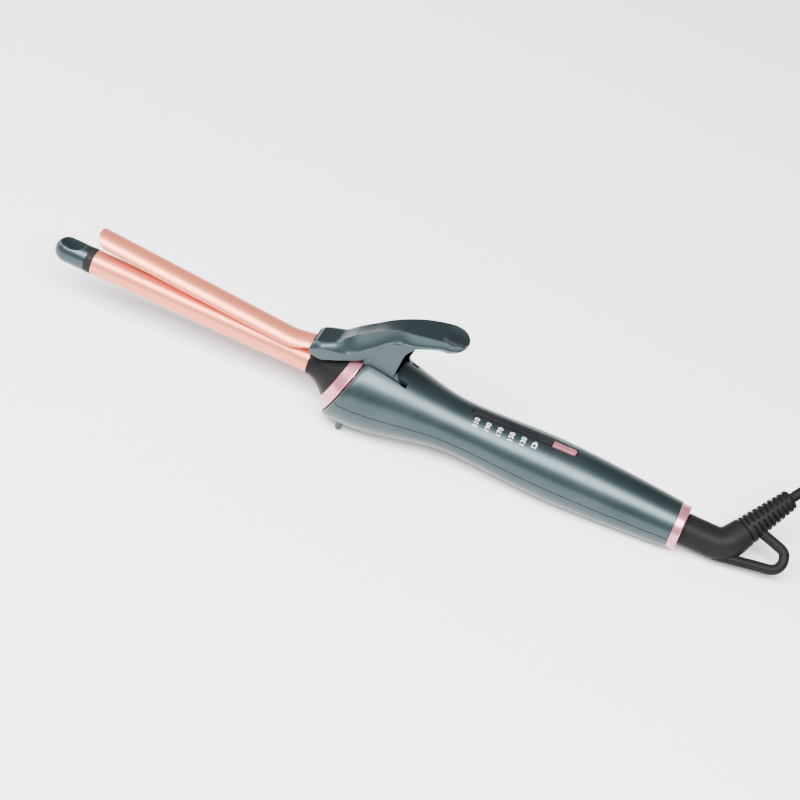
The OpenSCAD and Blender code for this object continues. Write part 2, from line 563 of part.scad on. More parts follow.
// Corners of the hang loop in the elbow's plane.
loop_pts = [[20, -5.2], [26, -4.2], [46.4, -0.6], [49.6, 4.2], [48.2, 9.2], [34.6, 13.6]];
module strut(a, b) translate([a[0], 0, a[1]])
    rotate([0, 90 - atan2(b[1] - a[1], b[0] - a[0]), 0])
        cylinder(h = norm(b - a), r = strut_r, $fn = medium);
module strain_relief() color([0.14, 0.14, 0.14]) elbow_plane() difference() {
    union() {
        rod_x(-4.3, bend_at - bend_r * tan(elbow_bend / 2), elbow_d / 2);
        // bend
        translate([bend_at - bend_r * tan(elbow_bend / 2), 0, bend_r]) rotate([90, 0, 0])
            rotate([0, 0, -90]) rotate_extrude(angle = elbow_bend, $fn = fine)
                translate([bend_r, 0]) circle(r = elbow_d / 2, $fn = fine);
        sleeve_frame() {
            rod_x(bend_r * tan(elbow_bend / 2) - 1, groove_start, elbow_d / 2 - 0.15, sleeve_r0);
            difference() {
                rod_x(groove_start, sleeve_l - 1.2, sleeve_r0, sleeve_r1 + 0.1);
                for (i = [0 : groove_n - 1], s = [0, 1]) rotate([90 + s * 180, 0, 0])
                    translate([groove_start + (i + 0.3 + s * 0.5) * groove_pitch, 0, 0]) groove();
            }
            rod_x(sleeve_l - 1.2, sleeve_l, sleeve_r1 + 0.1, sleeve_r1 - 0.8);
        }
        for (i = [0 : len(loop_pts) - 2]) strut(loop_pts[i], loop_pts[i + 1]);
        for (p = loop_pts) translate([p[0], 0, p[1]]) sphere(r = strut_r + 0.15, $fn = medium);
    }
    rod_x(-5, elbow_in, hub_r);
}
module sleeve_frame() translate([bend_at, 0, 0]) rotate([0, -elbow_bend, 0]) children();
// Slot that runs 160 degrees round one side of the sleeve.
module groove() rotate([0, 90, 0]) rotate([0, 0, 10]) rotate_extrude(angle = 160, $fn = medium)
    translate([sleeve_r1 - 0.7, 0]) square([6, groove_w]);

// ---- cord and plug -------------------------------------------------------------------------
// These lie on the floor, so they are placed in the floor frame, millimetres from its origin.
cord_r = cord_d / 2;
coil_at = [279, 15.5];
coil_r = 30;
coil_rows = 3;
lead_route = [[212.5, 29.1, 31.6], [214.3, 31.3, 33], [217.8, 35.2, 35.1], [222.3, 39.9, 36], [226.3, 43.7, 35.4],
    [230.4, 46.8, 33.5], [234.4, 49.2, 30.8], [238.9, 51.2, 26.7], [244.6, 52.8, 19.4], [250.2, 53.6, 12.1],
    [255, 54, 8], [261, 54, 5], [268, 53.3, 3.3], [276, 52, 2.85]];
tail_route = [[256.7, -6.8, 13.75], [252, 0.4, 14.1], [250.3, 8.8, 15.2], [252, 17.2, 17], [256.7, 24.4, 19.2],
    [263.9, 29.1, 21.6], [270.4, 30.9, 23.2], [274, 31, 23.7]];
plug_at = [272, 31, 23.7];
plug_w = 35;
plug_h = 13.7;
plug_l_body = 38;
plug_relief_l = 20;
plug_pin_r = 2;
plug_pin_l = 19;
plug_root_r = 1.5;
module cord_lead() color([0.13, 0.13, 0.13]) sweep(smooth(lead_route, 2), cord_r, 10);
module cord_tail() color([0.13, 0.13, 0.13]) sweep(smooth(tail_route, 2), cord_r, 10);
module cord_coil() color([0.13, 0.13, 0.13]) translate([coil_at[0], coil_at[1], 0])
    rotate_extrude($fn = fine) translate([coil_r, coil_rows * cord_r]) union() {
        square([coil_rows * cord_d, (coil_rows - 1) * cord_d], center = true);
        square([(coil_rows - 1) * cord_d, coil_rows * cord_d], center = true);
        for (sx = [-1, 1], sz = [-1, 1]) translate([sx, sz] * (coil_rows - 1) * cord_r)
            circle(r = cord_r, $fn = medium);
    }
// Frame of the plug, which lies on the coil: the cord comes in at its origin, the pins point along +X.
module plug_frame() translate(plug_at) children();
module plug_end(x, w, h) translate([x, 0, 0]) hull() for (s = [-1, 1])
    translate([0, s * (w - h) / 2, 0]) rotate([0, 90, 0]) cylinder(h = 1, d = h, $fn = 32);
module plug_body() color([0.13, 0.13, 0.13]) plug_frame() difference() {
    union() {
        difference() {
            rod_x(0, plug_relief_l + 1, cord_r + 1.2, cord_r + 2.4);
            rod_x(-1, 2, cord_r);
            for (i = [1 : 5]) difference() {
                rod_x(i * 3, i * 3 + 1, cord_r + 4);
                rod_x(i * 3 - 1, i * 3 + 2, cord_r + 0.5);
            }
        }
        hull() {
            plug_end(plug_relief_l, 17, 12.5);
            plug_end(plug_relief_l + 14, 21, plug_h);
        }
        hull() {
            plug_end(plug_relief_l + 14, 21, plug_h);
            plug_end(plug_relief_l + plug_l_body - 9, plug_w, plug_h);
            plug_end(plug_relief_l + plug_l_body - 1, plug_w, plug_h);
        }
    }
    for (s = [-1, 1]) translate([0, s * plug_pitch / 2, 0])
        rod_x(plug_relief_l + plug_l_body - 10, plug_relief_l + plug_l_body + 1, plug_root_r);
}
module plug_pins() color("silver") plug_frame() for (s = [-1, 1]) translate([0, s * plug_pitch / 2, 0]) {
    rod_x(plug_relief_l + plug_l_body - 9.9, plug_relief_l + plug_l_body + 0.5, plug_root_r);
    rod_x(plug_relief_l + plug_l_body, plug_relief_l + plug_l_body + plug_pin_l - 1, plug_pin_r);
    rod_x(plug_relief_l + plug_l_body + plug_pin_l - 1, plug_relief_l + plug_l_body + plug_pin_l,
        plug_pin_r, plug_pin_r - 0.6);
}

lay_down() barrel_tube();
lay_down() heater_core(1);  // heater_core_upper
lay_down() heater_core(-1);  // heater_core_lower
lay_down() ptc_chips();
lay_down() electrode_plates();
lay_down() insulating_film();
lay_down() temperature_sensor();
lay_down() thermal_fuse();
lay_down() tip_plug();
lay_down() tip_screw();
lay_down() tip_seal_ring();
lay_down() cool_tip();
lay_down() front_collar();
lay_down() collar_trim_ring();
lay_down() barrel_holder();
lay_down() upper_shell();
lay_down() lower_shell();
lay_down() shell_screws();
lay_down() rear_trim_ring();
lay_down() hinge_pin();
lay_down() clamp_spring();
lay_down() circuit_board();
lay_down() control_chip();
lay_down() triac();
lay_down() film_capacitor();
lay_down() slide_potentiometer();
lay_down() slider_track();
lay_down() heater_leads();
lay_down() mains_leads();
lay_down() contact_carrier();
lay_down() swivel_retainer();
lay_down() brush_contacts();
lay_down() clamp_blade();
lay_down() lever();
lay_down() clamp_screws();
lay_down() slider_knob();
lay_down() slider_carriage();
lay_down() strain_relief();
lay_down() swivel_hub();
lay_down() slip_rings();
cord_lead();
cord_tail();
cord_coil();
plug_body();
plug_pins();
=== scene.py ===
import json
import math
import bmesh
import bpy
import numpy as np
from mathutils import Matrix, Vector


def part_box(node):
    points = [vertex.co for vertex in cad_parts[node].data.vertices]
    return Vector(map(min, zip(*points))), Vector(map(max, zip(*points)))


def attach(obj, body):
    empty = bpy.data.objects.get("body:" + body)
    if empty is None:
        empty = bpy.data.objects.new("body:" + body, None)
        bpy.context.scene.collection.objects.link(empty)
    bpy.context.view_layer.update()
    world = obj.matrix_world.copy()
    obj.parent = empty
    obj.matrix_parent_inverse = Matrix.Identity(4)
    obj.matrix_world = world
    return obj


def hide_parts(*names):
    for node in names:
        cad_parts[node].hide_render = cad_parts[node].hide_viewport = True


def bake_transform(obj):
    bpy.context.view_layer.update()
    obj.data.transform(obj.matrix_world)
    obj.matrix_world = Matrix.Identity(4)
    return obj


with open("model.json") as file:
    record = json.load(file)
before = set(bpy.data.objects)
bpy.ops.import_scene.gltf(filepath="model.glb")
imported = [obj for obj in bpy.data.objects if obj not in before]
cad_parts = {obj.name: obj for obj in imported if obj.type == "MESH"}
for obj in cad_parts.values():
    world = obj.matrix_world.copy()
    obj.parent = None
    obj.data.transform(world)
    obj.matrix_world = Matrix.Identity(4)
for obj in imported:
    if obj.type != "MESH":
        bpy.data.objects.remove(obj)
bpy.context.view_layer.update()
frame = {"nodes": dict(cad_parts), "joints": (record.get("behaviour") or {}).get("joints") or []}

# ---------------------------------------------------------------- camera
# The tool lies on two feet and its belly, so its own axis runs a little uphill towards the tip.
# tool() turns millimetres along that axis (x from the rear face, y sideways, z clamp side up)
# into metres in the frame, and the camera looks down on the tool from its near side.
joints = {j["name"]: j for j in frame["joints"]}
tool_origin = np.array(joints["cord_swivel"]["pos_m"], float)
tool_x = np.array(joints["cord_swivel"]["axis"], float)
tool_x /= np.linalg.norm(tool_x)
tool_y = np.array([0.0, 1.0, 0.0])
tool_z = np.cross(tool_x, tool_y)
tool_axes = np.stack([tool_x, tool_y, tool_z])


def tool(points):
    """Origin of the tool plus x, y and z millimetres along its three axes, in metres."""
    return tool_origin + 0.001 * np.asarray(points, float) @ tool_axes


camera_distance = 1.160
camera_height = math.radians(42)
camera_roll = math.radians(24.4)
camera_aim = tool([-150, 0, 0])
camera_offset = math.sin(camera_height) * tool_z - math.cos(camera_height) * tool_y
camera_eye = tool_origin + camera_distance * camera_offset
forward = (camera_aim - camera_eye) / np.linalg.norm(camera_aim - camera_eye)
along = tool_x - (tool_x @ forward) * forward
along /= np.linalg.norm(along)
across = np.cross(-forward, along)
camera_right = math.cos(camera_roll) * along + math.sin(camera_roll) * across
camera_up = math.cos(camera_roll) * across - math.sin(camera_roll) * along
camera_matrix = np.eye(4)
camera_matrix[:3, 0] = camera_right
camera_matrix[:3, 1] = camera_up
camera_matrix[:3, 2] = -forward
camera_matrix[:3, 3] = camera_eye
camera_data = bpy.data.cameras.new("camera")
camera_data.sensor_width = 36
camera_data.lens = 108.1
camera = bpy.data.objects.new("camera", camera_data)
bpy.context.scene.collection.objects.link(camera)
camera.matrix_world = Matrix(camera_matrix.tolist())
bpy.context.scene.camera = camera

# ---------------------------------------------------------------- floor and light
# A white floor that runs far past the tool, one broad softbox over the near side, a smaller one by
# the tip, and a dim world, so that the far side of every round shape has something dark to mirror.
floor_half = 6
floor_corners = [(floor_half * x, floor_half * y, 0) for x, y in ((-1, -1), (1, -1), (1, 1), (-1, 1))]
floor_mesh = bpy.data.meshes.new("floor")
floor_mesh.from_pydata(floor_corners, [], [(0, 1, 2, 3)])
floor = bpy.data.objects.new("floor", floor_mesh)
bpy.context.scene.collection.objects.link(floor)
world = bpy.data.worlds.new("studio")
world.use_nodes = True
world.node_tree.nodes["Background"].inputs["Color"].default_value = (0.93, 0.96, 1.0, 1)
world.node_tree.nodes["Background"].inputs["Strength"].default_value = 0.16
bpy.context.scene.world = world


def softbox(name, at, aim, wide, high, power):
    """Rectangular area light at a point in metres, turned to face another point."""
    data = bpy.data.lights.new(name, "AREA")
    data.shape = "RECTANGLE"
    data.size, data.size_y, data.energy = wide, high, power
    lamp = bpy.data.objects.new(name, data)
    bpy.context.scene.collection.objects.link(lamp)
    back = np.array(at, float) - np.array(aim, float)
    back /= np.linalg.norm(back)
    side = np.cross([0, 0, 1], back) if abs(back[2]) < 0.999 else np.array([1.0, 0, 0])
    side /= np.linalg.norm(side)
    turned = np.eye(4)
    turned[:3, 0], turned[:3, 1], turned[:3, 2], turned[:3, 3] = side, np.cross(back, side), back, at
    lamp.matrix_world = Matrix(turned.tolist())


softbox("key", (0.0, -0.75, 1.25), (0, 0, 0), 2.2, 0.7, 125)
softbox("tip_side", (-1.5, 0.1, 0.7), (-0.1, 0, 0), 0.8, 0.8, 18)
softbox("far_rim", (0.3, 1.5, 0.35), (0, 0, 0), 1.8, 0.25, 3)

# ---------------------------------------------------------------- mains cord
# Round two-core cord with a black PVC jacket. It leaves the rubber elbow, drops to the surface,
# lies there as a coil of turns pushed together by hand, and ends at the moulded plug.


def feed(tree, socket, value):
    """Links a Value to the socket, or sets the constant on it."""
    if isinstance(value, Value):
        tree.links.new(value.socket, socket)
    elif isinstance(value, tuple) and len(value) == 3 and len(socket.default_value) == 4:
        socket.default_value = (*value, 1)
    else:
        socket.default_value = value


class Value:
    """A socket of a material's tree: arithmetic on it adds the node that works it out."""

    def __init__(self, tree, socket):
        self.tree, self.socket = tree, socket

    def node(self, kind, output=0, sockets=None, **settings):
        """Any other node. settings are its properties, sockets its inputs by name or number."""
        made = self.tree.nodes.new(kind)
        for key, value in settings.items():
            setattr(made, key, value)
        for key, value in (sockets or {}).items():
            feed(self.tree, made.inputs[key], value)
        return Value(self.tree, made.outputs[output])

    def math(self, operation, *values):
        return self.node("ShaderNodeMath", operation=operation, sockets=dict(enumerate(values)))

    def __add__(self, other):
        return self.math("ADD", self, other)

    def __mul__(self, other):
        return self.math("MULTIPLY", self, other)

    __radd__, __rmul__ = __add__, __mul__

    def part(self, axis):
        """The component of a vector along the axis, both in the same units."""
        return self.node("ShaderNodeVectorMath", "Value", {0: self, 1: axis}, operation="DOT_PRODUCT")

    def fade(self, low, high):
        """0 below low, 1 above high and a smooth curve between them."""
        return self.node("ShaderNodeMapRange", interpolation_type="SMOOTHSTEP",
                         sockets={"Value": self, "From Min": low, "From Max": high})

    def tint(self, low, high):
        """A colour between low, where the value is 0, and high, where it is 1."""
        return self.node("ShaderNodeMix", 2, {0: self, 6: low, 7: high}, data_type="RGBA")


class Finish:
    """A material. place is the point in millimetres along the tool's own axes."""

    def __init__(self, name):
        self.material = bpy.data.materials.new(name)
        self.material.use_nodes = True
        tree = self.material.node_tree
        self.shader = tree.nodes["Principled BSDF"]
        start = Value(tree, tree.nodes.new("ShaderNodeTexCoord").outputs["Object"])
        moved = start.node("ShaderNodeVectorMath", 0, {0: start, 1: tuple(tool_origin)}, operation="SUBTRACT")
        axes = [moved.part(tuple(1000 * axis)) for axis in tool_axes]
        self.place = start.node("ShaderNodeCombineXYZ", 0, dict(enumerate(axes)))

    def noise(self, size, stretch=(1, 1, 1), detail=2):
        """Soft noise from 0 to 1 whose spots are size millimetres, longer along an axis by its stretch."""
        scale = tuple(1 / (size * s) for s in stretch)
        moved = self.place.node("ShaderNodeVectorMath", 0, {0: self.place, 1: scale}, operation="MULTIPLY")
        return moved.node("ShaderNodeTexNoise", 0, {"Vector": moved, "Scale": 1.0, "Detail": detail})

    def set(self, height=None, depth=0.01, **sockets):
        """Feeds the named sockets of the shader, and a bump of depth millimetres made from height."""
        for key, value in sockets.items():
            feed(self.shader.id_data, self.shader.inputs[key.replace("_", " ")], value)
        if height is not None:
            normal = height.node("ShaderNodeBump", 0, {"Height": height, "Distance": depth / 1000})
            feed(self.shader.id_data, self.shader.inputs["Normal"], normal)
        return self.material


def rubbery(name, dark, light, rough, grain, depth):
    """Satin black plastic or rubber: fine moulded grain and faint uneven sheen."""
    made = Finish(name)
    fine, broad = made.noise(grain), made.noise(14, detail=3)
    return made.set(height=fine, depth=depth, Base_Color=broad.tint(dark, light), Specular_IOR_Level=0.04,
                    Roughness=broad * 0.12 + fine * 0.06 + (rough - 0.09))


cord_black = rubbery("cord_pvc", (0.006, 0.006, 0.006), (0.012, 0.012, 0.012), 0.42, 0.35, 0.012)


def eased(t):
    """0 where t is below 0, 1 where it is above 1, and 3 t squared less 2 t cubed between."""
    t = np.clip(t, 0, 1)
    return t * t * (3 - 2 * t)


def cubic(a, b, c, d, t):
    """Catmull-Rom cubic from b, where t is 0, to c, where t is 1, with end slopes set by a and d."""
    return 0.5 * (2 * b + (c - a) * t + (2 * a - 5 * b + 4 * c - d) * t**2 + (3 * b - a - 3 * c + d) * t**3)


def smooth_through(points, steps):
    """Curve through the points: each span is a cubic whose end slopes follow the neighbours."""
    p = np.asarray(points, float)
    a, b, c, d = np.vstack([p[:1], p[:-2]]), p[:-1], p[1:], np.vstack([p[2:], p[-1:]])
    t = (np.arange(steps) / steps)[None, :, None]
    a, b, c, d = (q[:, None, :] for q in (a, b, c, d))
    return np.vstack([cubic(a, b, c, d, t).reshape(-1, p.shape[1]), p[-1:]])


def tube(path, radius, around=24):
    """Rings square to the path, each turned as little as possible from the one before.
    radius is one number, or one for each ring, or one for each point of each ring."""
    path = np.asarray(path, float)
    heading = np.gradient(path, axis=0)
    heading /= np.linalg.norm(heading, axis=1)[:, None]
    side = np.zeros_like(path)
    first = np.cross(heading[0], [0, 0, 1.0] if abs(heading[0][2]) < 0.9 else [0, 1.0, 0])
    side[0] = first / np.linalg.norm(first)
    for i in range(1, len(path)):
        side[i] = side[i - 1] - (side[i - 1] @ heading[i]) * heading[i]
        side[i] /= np.linalg.norm(side[i])
    turn = np.linspace(0, 2 * np.pi, around, endpoint=False)
    size = np.asarray(radius, float).reshape((-1, 1) if np.ndim(radius) == 1 else np.shape(radius))
    up = np.cross(heading, side)
    return (path[:, None] + (size * np.cos(turn))[..., None] * side[:, None]
            + (size * np.sin(turn))[..., None] * up[:, None])


def grid_mesh(name, grids, ring=False):
    """One mesh from closed grids of points (rows, columns, 3). Columns join round. The end rows each
    get a fan to their middle, or join each other when ring is true."""
    points, faces = [], []
    base = 0
    for grid in grids:
        rows, columns = grid.shape[:2]
        number = base + np.arange(rows * columns).reshape(rows, columns)
        lower, upper = (number, np.roll(number, -1, 0)) if ring else (number[:-1], number[1:])
        quads = np.stack([lower, np.roll(lower, -1, 1), np.roll(upper, -1, 1), upper], -1)
        faces += quads.reshape(-1, 4).tolist()
        points.append(grid.reshape(-1, 3))
        base += rows * columns
        if not ring:
            for row in (0, -1):
                points.append(grid[row].mean(0)[None])
                edge = number[row]
                faces += [(a, b, base) for a, b in zip(edge.tolist(), np.roll(edge, -1).tolist())]
                base += 1
    mesh = bpy.data.meshes.new(name)
    mesh.from_pydata(np.vstack(points).tolist(), [], faces)
    return mesh


same_point = 2e-6


def outward(mesh, merge):
    """Turns the faces outward, after merging points that fall together where merge is true."""
    work = bmesh.new()
    work.from_mesh(mesh)
    if merge:
        bmesh.ops.remove_doubles(work, verts=work.verts, dist=same_point)
    bmesh.ops.recalc_face_normals(work, faces=work.faces)
    work.to_mesh(mesh)
    work.free()


def piece(name, mesh, finish, body, nodes=(), crease=35):
    """Puts the mesh on its body with its finish, as a stand-in for the CAD nodes. Edges sharper than
    crease degrees stay sharp."""
    outward(mesh, True)
    mesh.shade_smooth()
    mesh.set_sharp_from_angle(angle=math.radians(crease))
    mesh.materials.clear()
    mesh.materials.append(finish)
    made = bpy.data.objects.new(name, mesh)
    bpy.context.scene.collection.objects.link(made)
    if body:
        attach(made, body)
    if nodes:
        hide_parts(*nodes)
    return made


def solid(name, grids, finish, body, nodes=(), crease=35, ring=False):
    """One piece from closed grids of points in metres."""
    return piece(name, grid_mesh(name, grids, ring), finish, body, nodes, crease)


cord_d = 5.2
coil_x, coil_y, coil_start = 279.0, 15.5, 80
lead_route = [[211.29, 27.57, 30.47], [214.3, 31.3, 33], [217.8, 35.2, 35.1], [222.3, 39.9, 36],
              [226.3, 43.7, 35.4], [230.4, 46.8, 33.5], [234.4, 49.2, 30.8], [238.9, 51.2, 26.7],
              [244.6, 52.8, 19.4], [250.2, 53.6, 12.1], [255, 54.5, 8], [261, 54.9, 5], [268, 54.6, 3.3],
              [276, 53.6, 2.8]]
tail_route = [[252, 0.4, 14.1], [250.3, 8.8, 15.2], [252, 17.2, 17], [256.7, 24.4, 19.2], [263.9, 29.1, 21.6],
              [270.4, 30.9, 23.3], [276, 31, 23.7], [284, 31, 23.7]]
# degrees run through since the coil began, with the radius and height of the turn at each: it winds
# inward on the surface, climbs, winds outward on the layer above, climbs again and turns in on top
turns = np.array([[0, 37, 2.75], [300, 37, 2.75], [360, 31.5, 2.75], [660, 31.5, 2.75], [720, 26, 2.75],
                  [960, 26, 2.75], [1020, 26, 8.25], [1260, 26, 8.25], [1320, 31.5, 8.25], [1620, 31.5, 8.25],
                  [1680, 37, 8.25], [1920, 37, 8.25], [1980, 37, 13.75], [2200, 37, 13.75], [2260, 31.5, 13.75],
                  [2375, 31.5, 13.75]])
run = np.arange(0, turns[-1, 0] + 1, 7.5)
span = np.clip(np.searchsorted(turns[:, 0], run, side="right") - 1, 0, len(turns) - 2)
share = eased((run - turns[span, 0]) / (turns[span + 1, 0] - turns[span, 0]))[:, None]
level = turns[span, 1:] * (1 - share) + turns[span + 1, 1:] * share
polar = np.radians(coil_start - run)
coil = np.stack([coil_x + level[:, 0] * np.cos(polar), coil_y + level[:, 0] * np.sin(polar), level[:, 1]], 1)
cord_path = 0.001 * smooth_through(np.vstack([lead_route, coil, tail_route]), 2)
cord = solid("mains_cord", [tube(cord_path, cord_d / 2000, 16)], cord_black, None,
             ["cord_lead", "cord_tail", "cord_coil"])
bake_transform(cord)

# ---------------------------------------------------------------- strain relief
# One black rubber moulding that turns with the cord: a stub in the handle's rear ring, a bend of
# 60 degrees, a tapering sleeve with cuts on both sides so that it flexes, and a loop to hang it by.
elbow_roll = math.radians(52)
elbow_y = math.cos(elbow_roll) * tool_y - math.sin(elbow_roll) * tool_z
elbow_z = math.sin(elbow_roll) * tool_y + math.cos(elbow_roll) * tool_z


def elbow(along_mm, lean_mm, side_mm=0.0):
    """Point of the elbow: millimetres along the tool, towards the side it leans to, and square to both."""
    return (tool_origin + 0.001 * (np.multiply.outer(along_mm, tool_x) + np.multiply.outer(lean_mm, elbow_z)
                                   + np.multiply.outer(side_mm, elbow_y)))


bend_at, bend_r, bend_angle, sleeve_l = 21.0, 10.0, math.radians(60), 40.4
elbow_r, sleeve_r0, sleeve_r1, tip_round = 8.1, 7.2, 5.2, 1.6
groove_from, groove_n, groove_pitch, groove_half = 14, 9, 2.75, 0.5
bend_reach = bend_r * math.tan(bend_angle / 2)
arc_l = bend_r * bend_angle
straight_l = bend_at - bend_reach
sleeve_x, sleeve_z = math.cos(bend_angle), math.sin(bend_angle)
# s runs along the middle line from the stub's hidden end; the sleeve's own distances start at the corner
s = np.concatenate([np.linspace(-4.3, straight_l, 24), straight_l + np.linspace(0, arc_l, 26)[1:],
                    straight_l + arc_l + np.linspace(0, sleeve_l - bend_reach, 300)[1:]])
bent = np.clip((s - straight_l) / bend_r, 0, bend_angle)
beyond = np.clip(s - straight_l - arc_l, 0, None)
middle_x = np.minimum(s, straight_l) + bend_r * np.sin(bent) + beyond * sleeve_x
middle_z = bend_r * (1 - np.cos(bent)) + beyond * sleeve_z
sleeve_s = beyond + bend_reach
taper = np.interp(sleeve_s, [bend_reach, groove_from, sleeve_l], [elbow_r, sleeve_r0, sleeve_r1])
sleeve_r = np.where(beyond > 0, taper, elbow_r)
from_end = sleeve_l - sleeve_s
round_off = tip_round - np.sqrt(np.clip(tip_round**2 - (tip_round - from_end)**2, 0, None))
sleeve_r = np.where((beyond > 0) & (from_end < tip_round), sleeve_r - round_off, sleeve_r)
ring_turn = np.linspace(0, 2 * np.pi, 120, endpoint=False)


def cut_at(middle, half, wall_slope=0.16):
    """Depth share along s of a cut across the sleeve: 1 within half of the middle, 0 beyond a slanted wall."""
    return np.clip((half + wall_slope / 2 - np.abs(sleeve_s - middle)) / wall_slope, 0, 1) * (beyond > 0)


depth = np.repeat(cut_at(13.1, 0.47)[:, None], len(ring_turn), 1)
for side, lean in ((1, 0.3), (-1, 0.8)):
    # the cuts of either side end at a narrow spine, and the two rows are half a pitch apart
    flank = np.clip((side * np.cos(ring_turn) - 0.1) / 0.1, 0, 1)
    for number in range(groove_n):
        across_cut = cut_at(groove_from + (number + lean) * groove_pitch + 0.55, groove_half)
        depth = np.maximum(depth, across_cut[:, None] * flank[None])
core_r, deepest = 4.6, 1.5
skin = sleeve_r[:, None] - depth * np.minimum(sleeve_r - core_r, deepest)[:, None]
normal_x, normal_z = -np.sin(bent), np.cos(bent)
sleeve = elbow(middle_x[:, None] + skin * np.cos(ring_turn) * normal_x[:, None],
               middle_z[:, None] + skin * np.cos(ring_turn) * normal_z[:, None], skin * np.sin(ring_turn))
loop_line = smooth_through([[18, -5.6], [26, -4.3], [40, -1.8], [45.4, -0.9], [48.4, 1.0], [49.7, 4.2],
                            [49.2, 7.4], [47.4, 9.9], [42, 11.8], [33.5, 14.2]], 10)
loop_r = 0.0026
loop = tube(elbow(loop_line[:, 0], loop_line[:, 1]), loop_r, 24)
elbow_rubber = rubbery("elbow_rubber", (0.006, 0.006, 0.006), (0.013, 0.013, 0.013), 0.4, 0.3, 0.014)
relief = solid("strain_relief_rubber", [sleeve, loop], elbow_rubber, "swivel", ["strain_relief"], crease=40)

# ---------------------------------------------------------------- barrel
# Thin aluminium tube, anodised rose gold over lengthwise brushing. It is drawn, cut square, and
# held at the rear by the holder inside the handle. The black ring and the cool tip screw to its end.
round_turn = np.linspace(0, 2 * np.pi, 144, endpoint=False)


def around_axis(x, r, turn=round_turn):
    """Points in tool millimetres at radius r and angle turn round the axis, for arrays that fit together."""
    return np.stack(np.broadcast_arrays(x, r * np.sin(turn), r * np.cos(turn)), -1)


def turned_about_y(points, angle):
    """The points turned about the y axis, so that x swings towards z."""
    c, w = math.cos(angle), math.sin(angle)
    return points @ np.array([[c, 0, -w], [0, 1, 0], [w, 0, c]])


def lathe(profile, tilt=0.0, at=0.0, around=round_turn):
    """Rings in metres through [x, radius] points in millimetres, round the tool's axis or round one
    that is tilted about the y axis at x = at."""
    x, r = np.asarray(profile, float).T
    return tool(turned_about_y(around_axis(x[:, None], r[:, None], around), tilt) + [at, 0, 0])


def rounded(profile, r, steps=5):
    """The closed profile with each corner replaced by an arc-like curve that starts r before it."""
    p = np.asarray(profile, float)
    before, after = np.roll(p, 1, 0) - p, np.roll(p, -1, 0) - p
    long_b, long_a = np.linalg.norm(before, axis=1), np.linalg.norm(after, axis=1)
    reach = np.minimum(r, 0.45 * np.minimum(long_b, long_a))[:, None]
    one, two = p + before / long_b[:, None] * reach, p + after / long_a[:, None] * reach
    t = np.linspace(0, 1, steps)[None, :, None]
    arcs = (1 - t)**2 * one[:, None] + 2 * t * (1 - t) * p[:, None] + t**2 * two[:, None]
    return arcs.reshape(-1, p.shape[1])


def anodised(name, rough, streak):
    """Rose gold metal with fine lines along the tool that vary its tone, gloss and height."""
    made = Finish(name)
    lines = made.noise(0.22, (220, 1, 1), detail=4)
    broad = made.noise(9, (6, 1, 1), detail=2)
    return made.set(height=lines, depth=streak, Metallic=0.62,
                    Base_Color=(lines * 0.6 + broad * 0.4).tint((0.74, 0.20, 0.115), (0.86, 0.27, 0.165)),
                    Roughness=lines * 0.12 + broad * 0.05 + (rough - 0.08))


barrel_r, wall = 6.5, 1.0
tip_end, seal_x0, barrel_x0, barrel_x1 = -338.98, -320.98, -317.18, -165.7
rose_gold = anodised("rose_gold", 0.36, 0.004)
tube_wall = [[barrel_x0, barrel_r], [barrel_x1, barrel_r], [barrel_x1, barrel_r - wall],
             [barrel_x0, barrel_r - wall]]
solid("barrel", [lathe(rounded(tube_wall, 0.15))], rose_gold, "handle", ["barrel_tube"], ring=True)
seal_black = rubbery("seal_black", (0.010, 0.010, 0.011), (0.020, 0.020, 0.021), 0.38, 0.3, 0.008)
seal_bore = 1.35
seal_ring = [[seal_x0, barrel_r], [seal_x0 + 1.9, barrel_r + 0.08], [barrel_x0, barrel_r + 0.05],
             [barrel_x0, seal_bore], [seal_x0, seal_bore]]
solid("tip_ring", [lathe(rounded(seal_ring, 0.35))], seal_black, "handle", ["tip_seal_ring"], ring=True)

# ---------------------------------------------------------------- cool tip
# Moulded cap of heat-resistant plastic, sprayed in the handle's teal metallic lacquer. The fingers
# hold the curl against a scooped hollow on its upper side.


def lacquer(name):
    """Teal metallic spray: fine flakes of uneven brightness under a thin, slightly wavy clear coat."""
    made = Finish(name)
    flake, cloud, wave = made.noise(0.12, detail=1), made.noise(22, detail=3), made.noise(1.1, detail=2)
    tone = (flake * 0.5 + cloud * 0.5).fade(0.2, 0.8)
    return made.set(height=wave, depth=0.006, Metallic=0.82,
                    Base_Color=tone.tint((0.026, 0.042, 0.046), (0.047, 0.069, 0.074)),
                    Roughness=flake * 0.1 + cloud * 0.06 + 0.27, Coat_Weight=0.12, Coat_Roughness=0.22)


teal = lacquer("teal_lacquer")
dome = 7.0
lean = np.linspace(np.pi / 2 - 0.01, 0, 40)
straight = np.linspace(tip_end + dome, seal_x0 - 0.35, 70)[1:]
outline = np.concatenate([np.stack([tip_end + dome - dome * np.sin(lean), barrel_r * np.cos(lean)], 1),
                          np.stack([straight, np.full(len(straight), barrel_r)], 1),
                          [[seal_x0 - 0.1, barrel_r - 0.08], [seal_x0, barrel_r - 0.3], [seal_x0, 1.3]]])
cap = lathe(outline, around=np.linspace(0, 2 * np.pi, 256, endpoint=False))
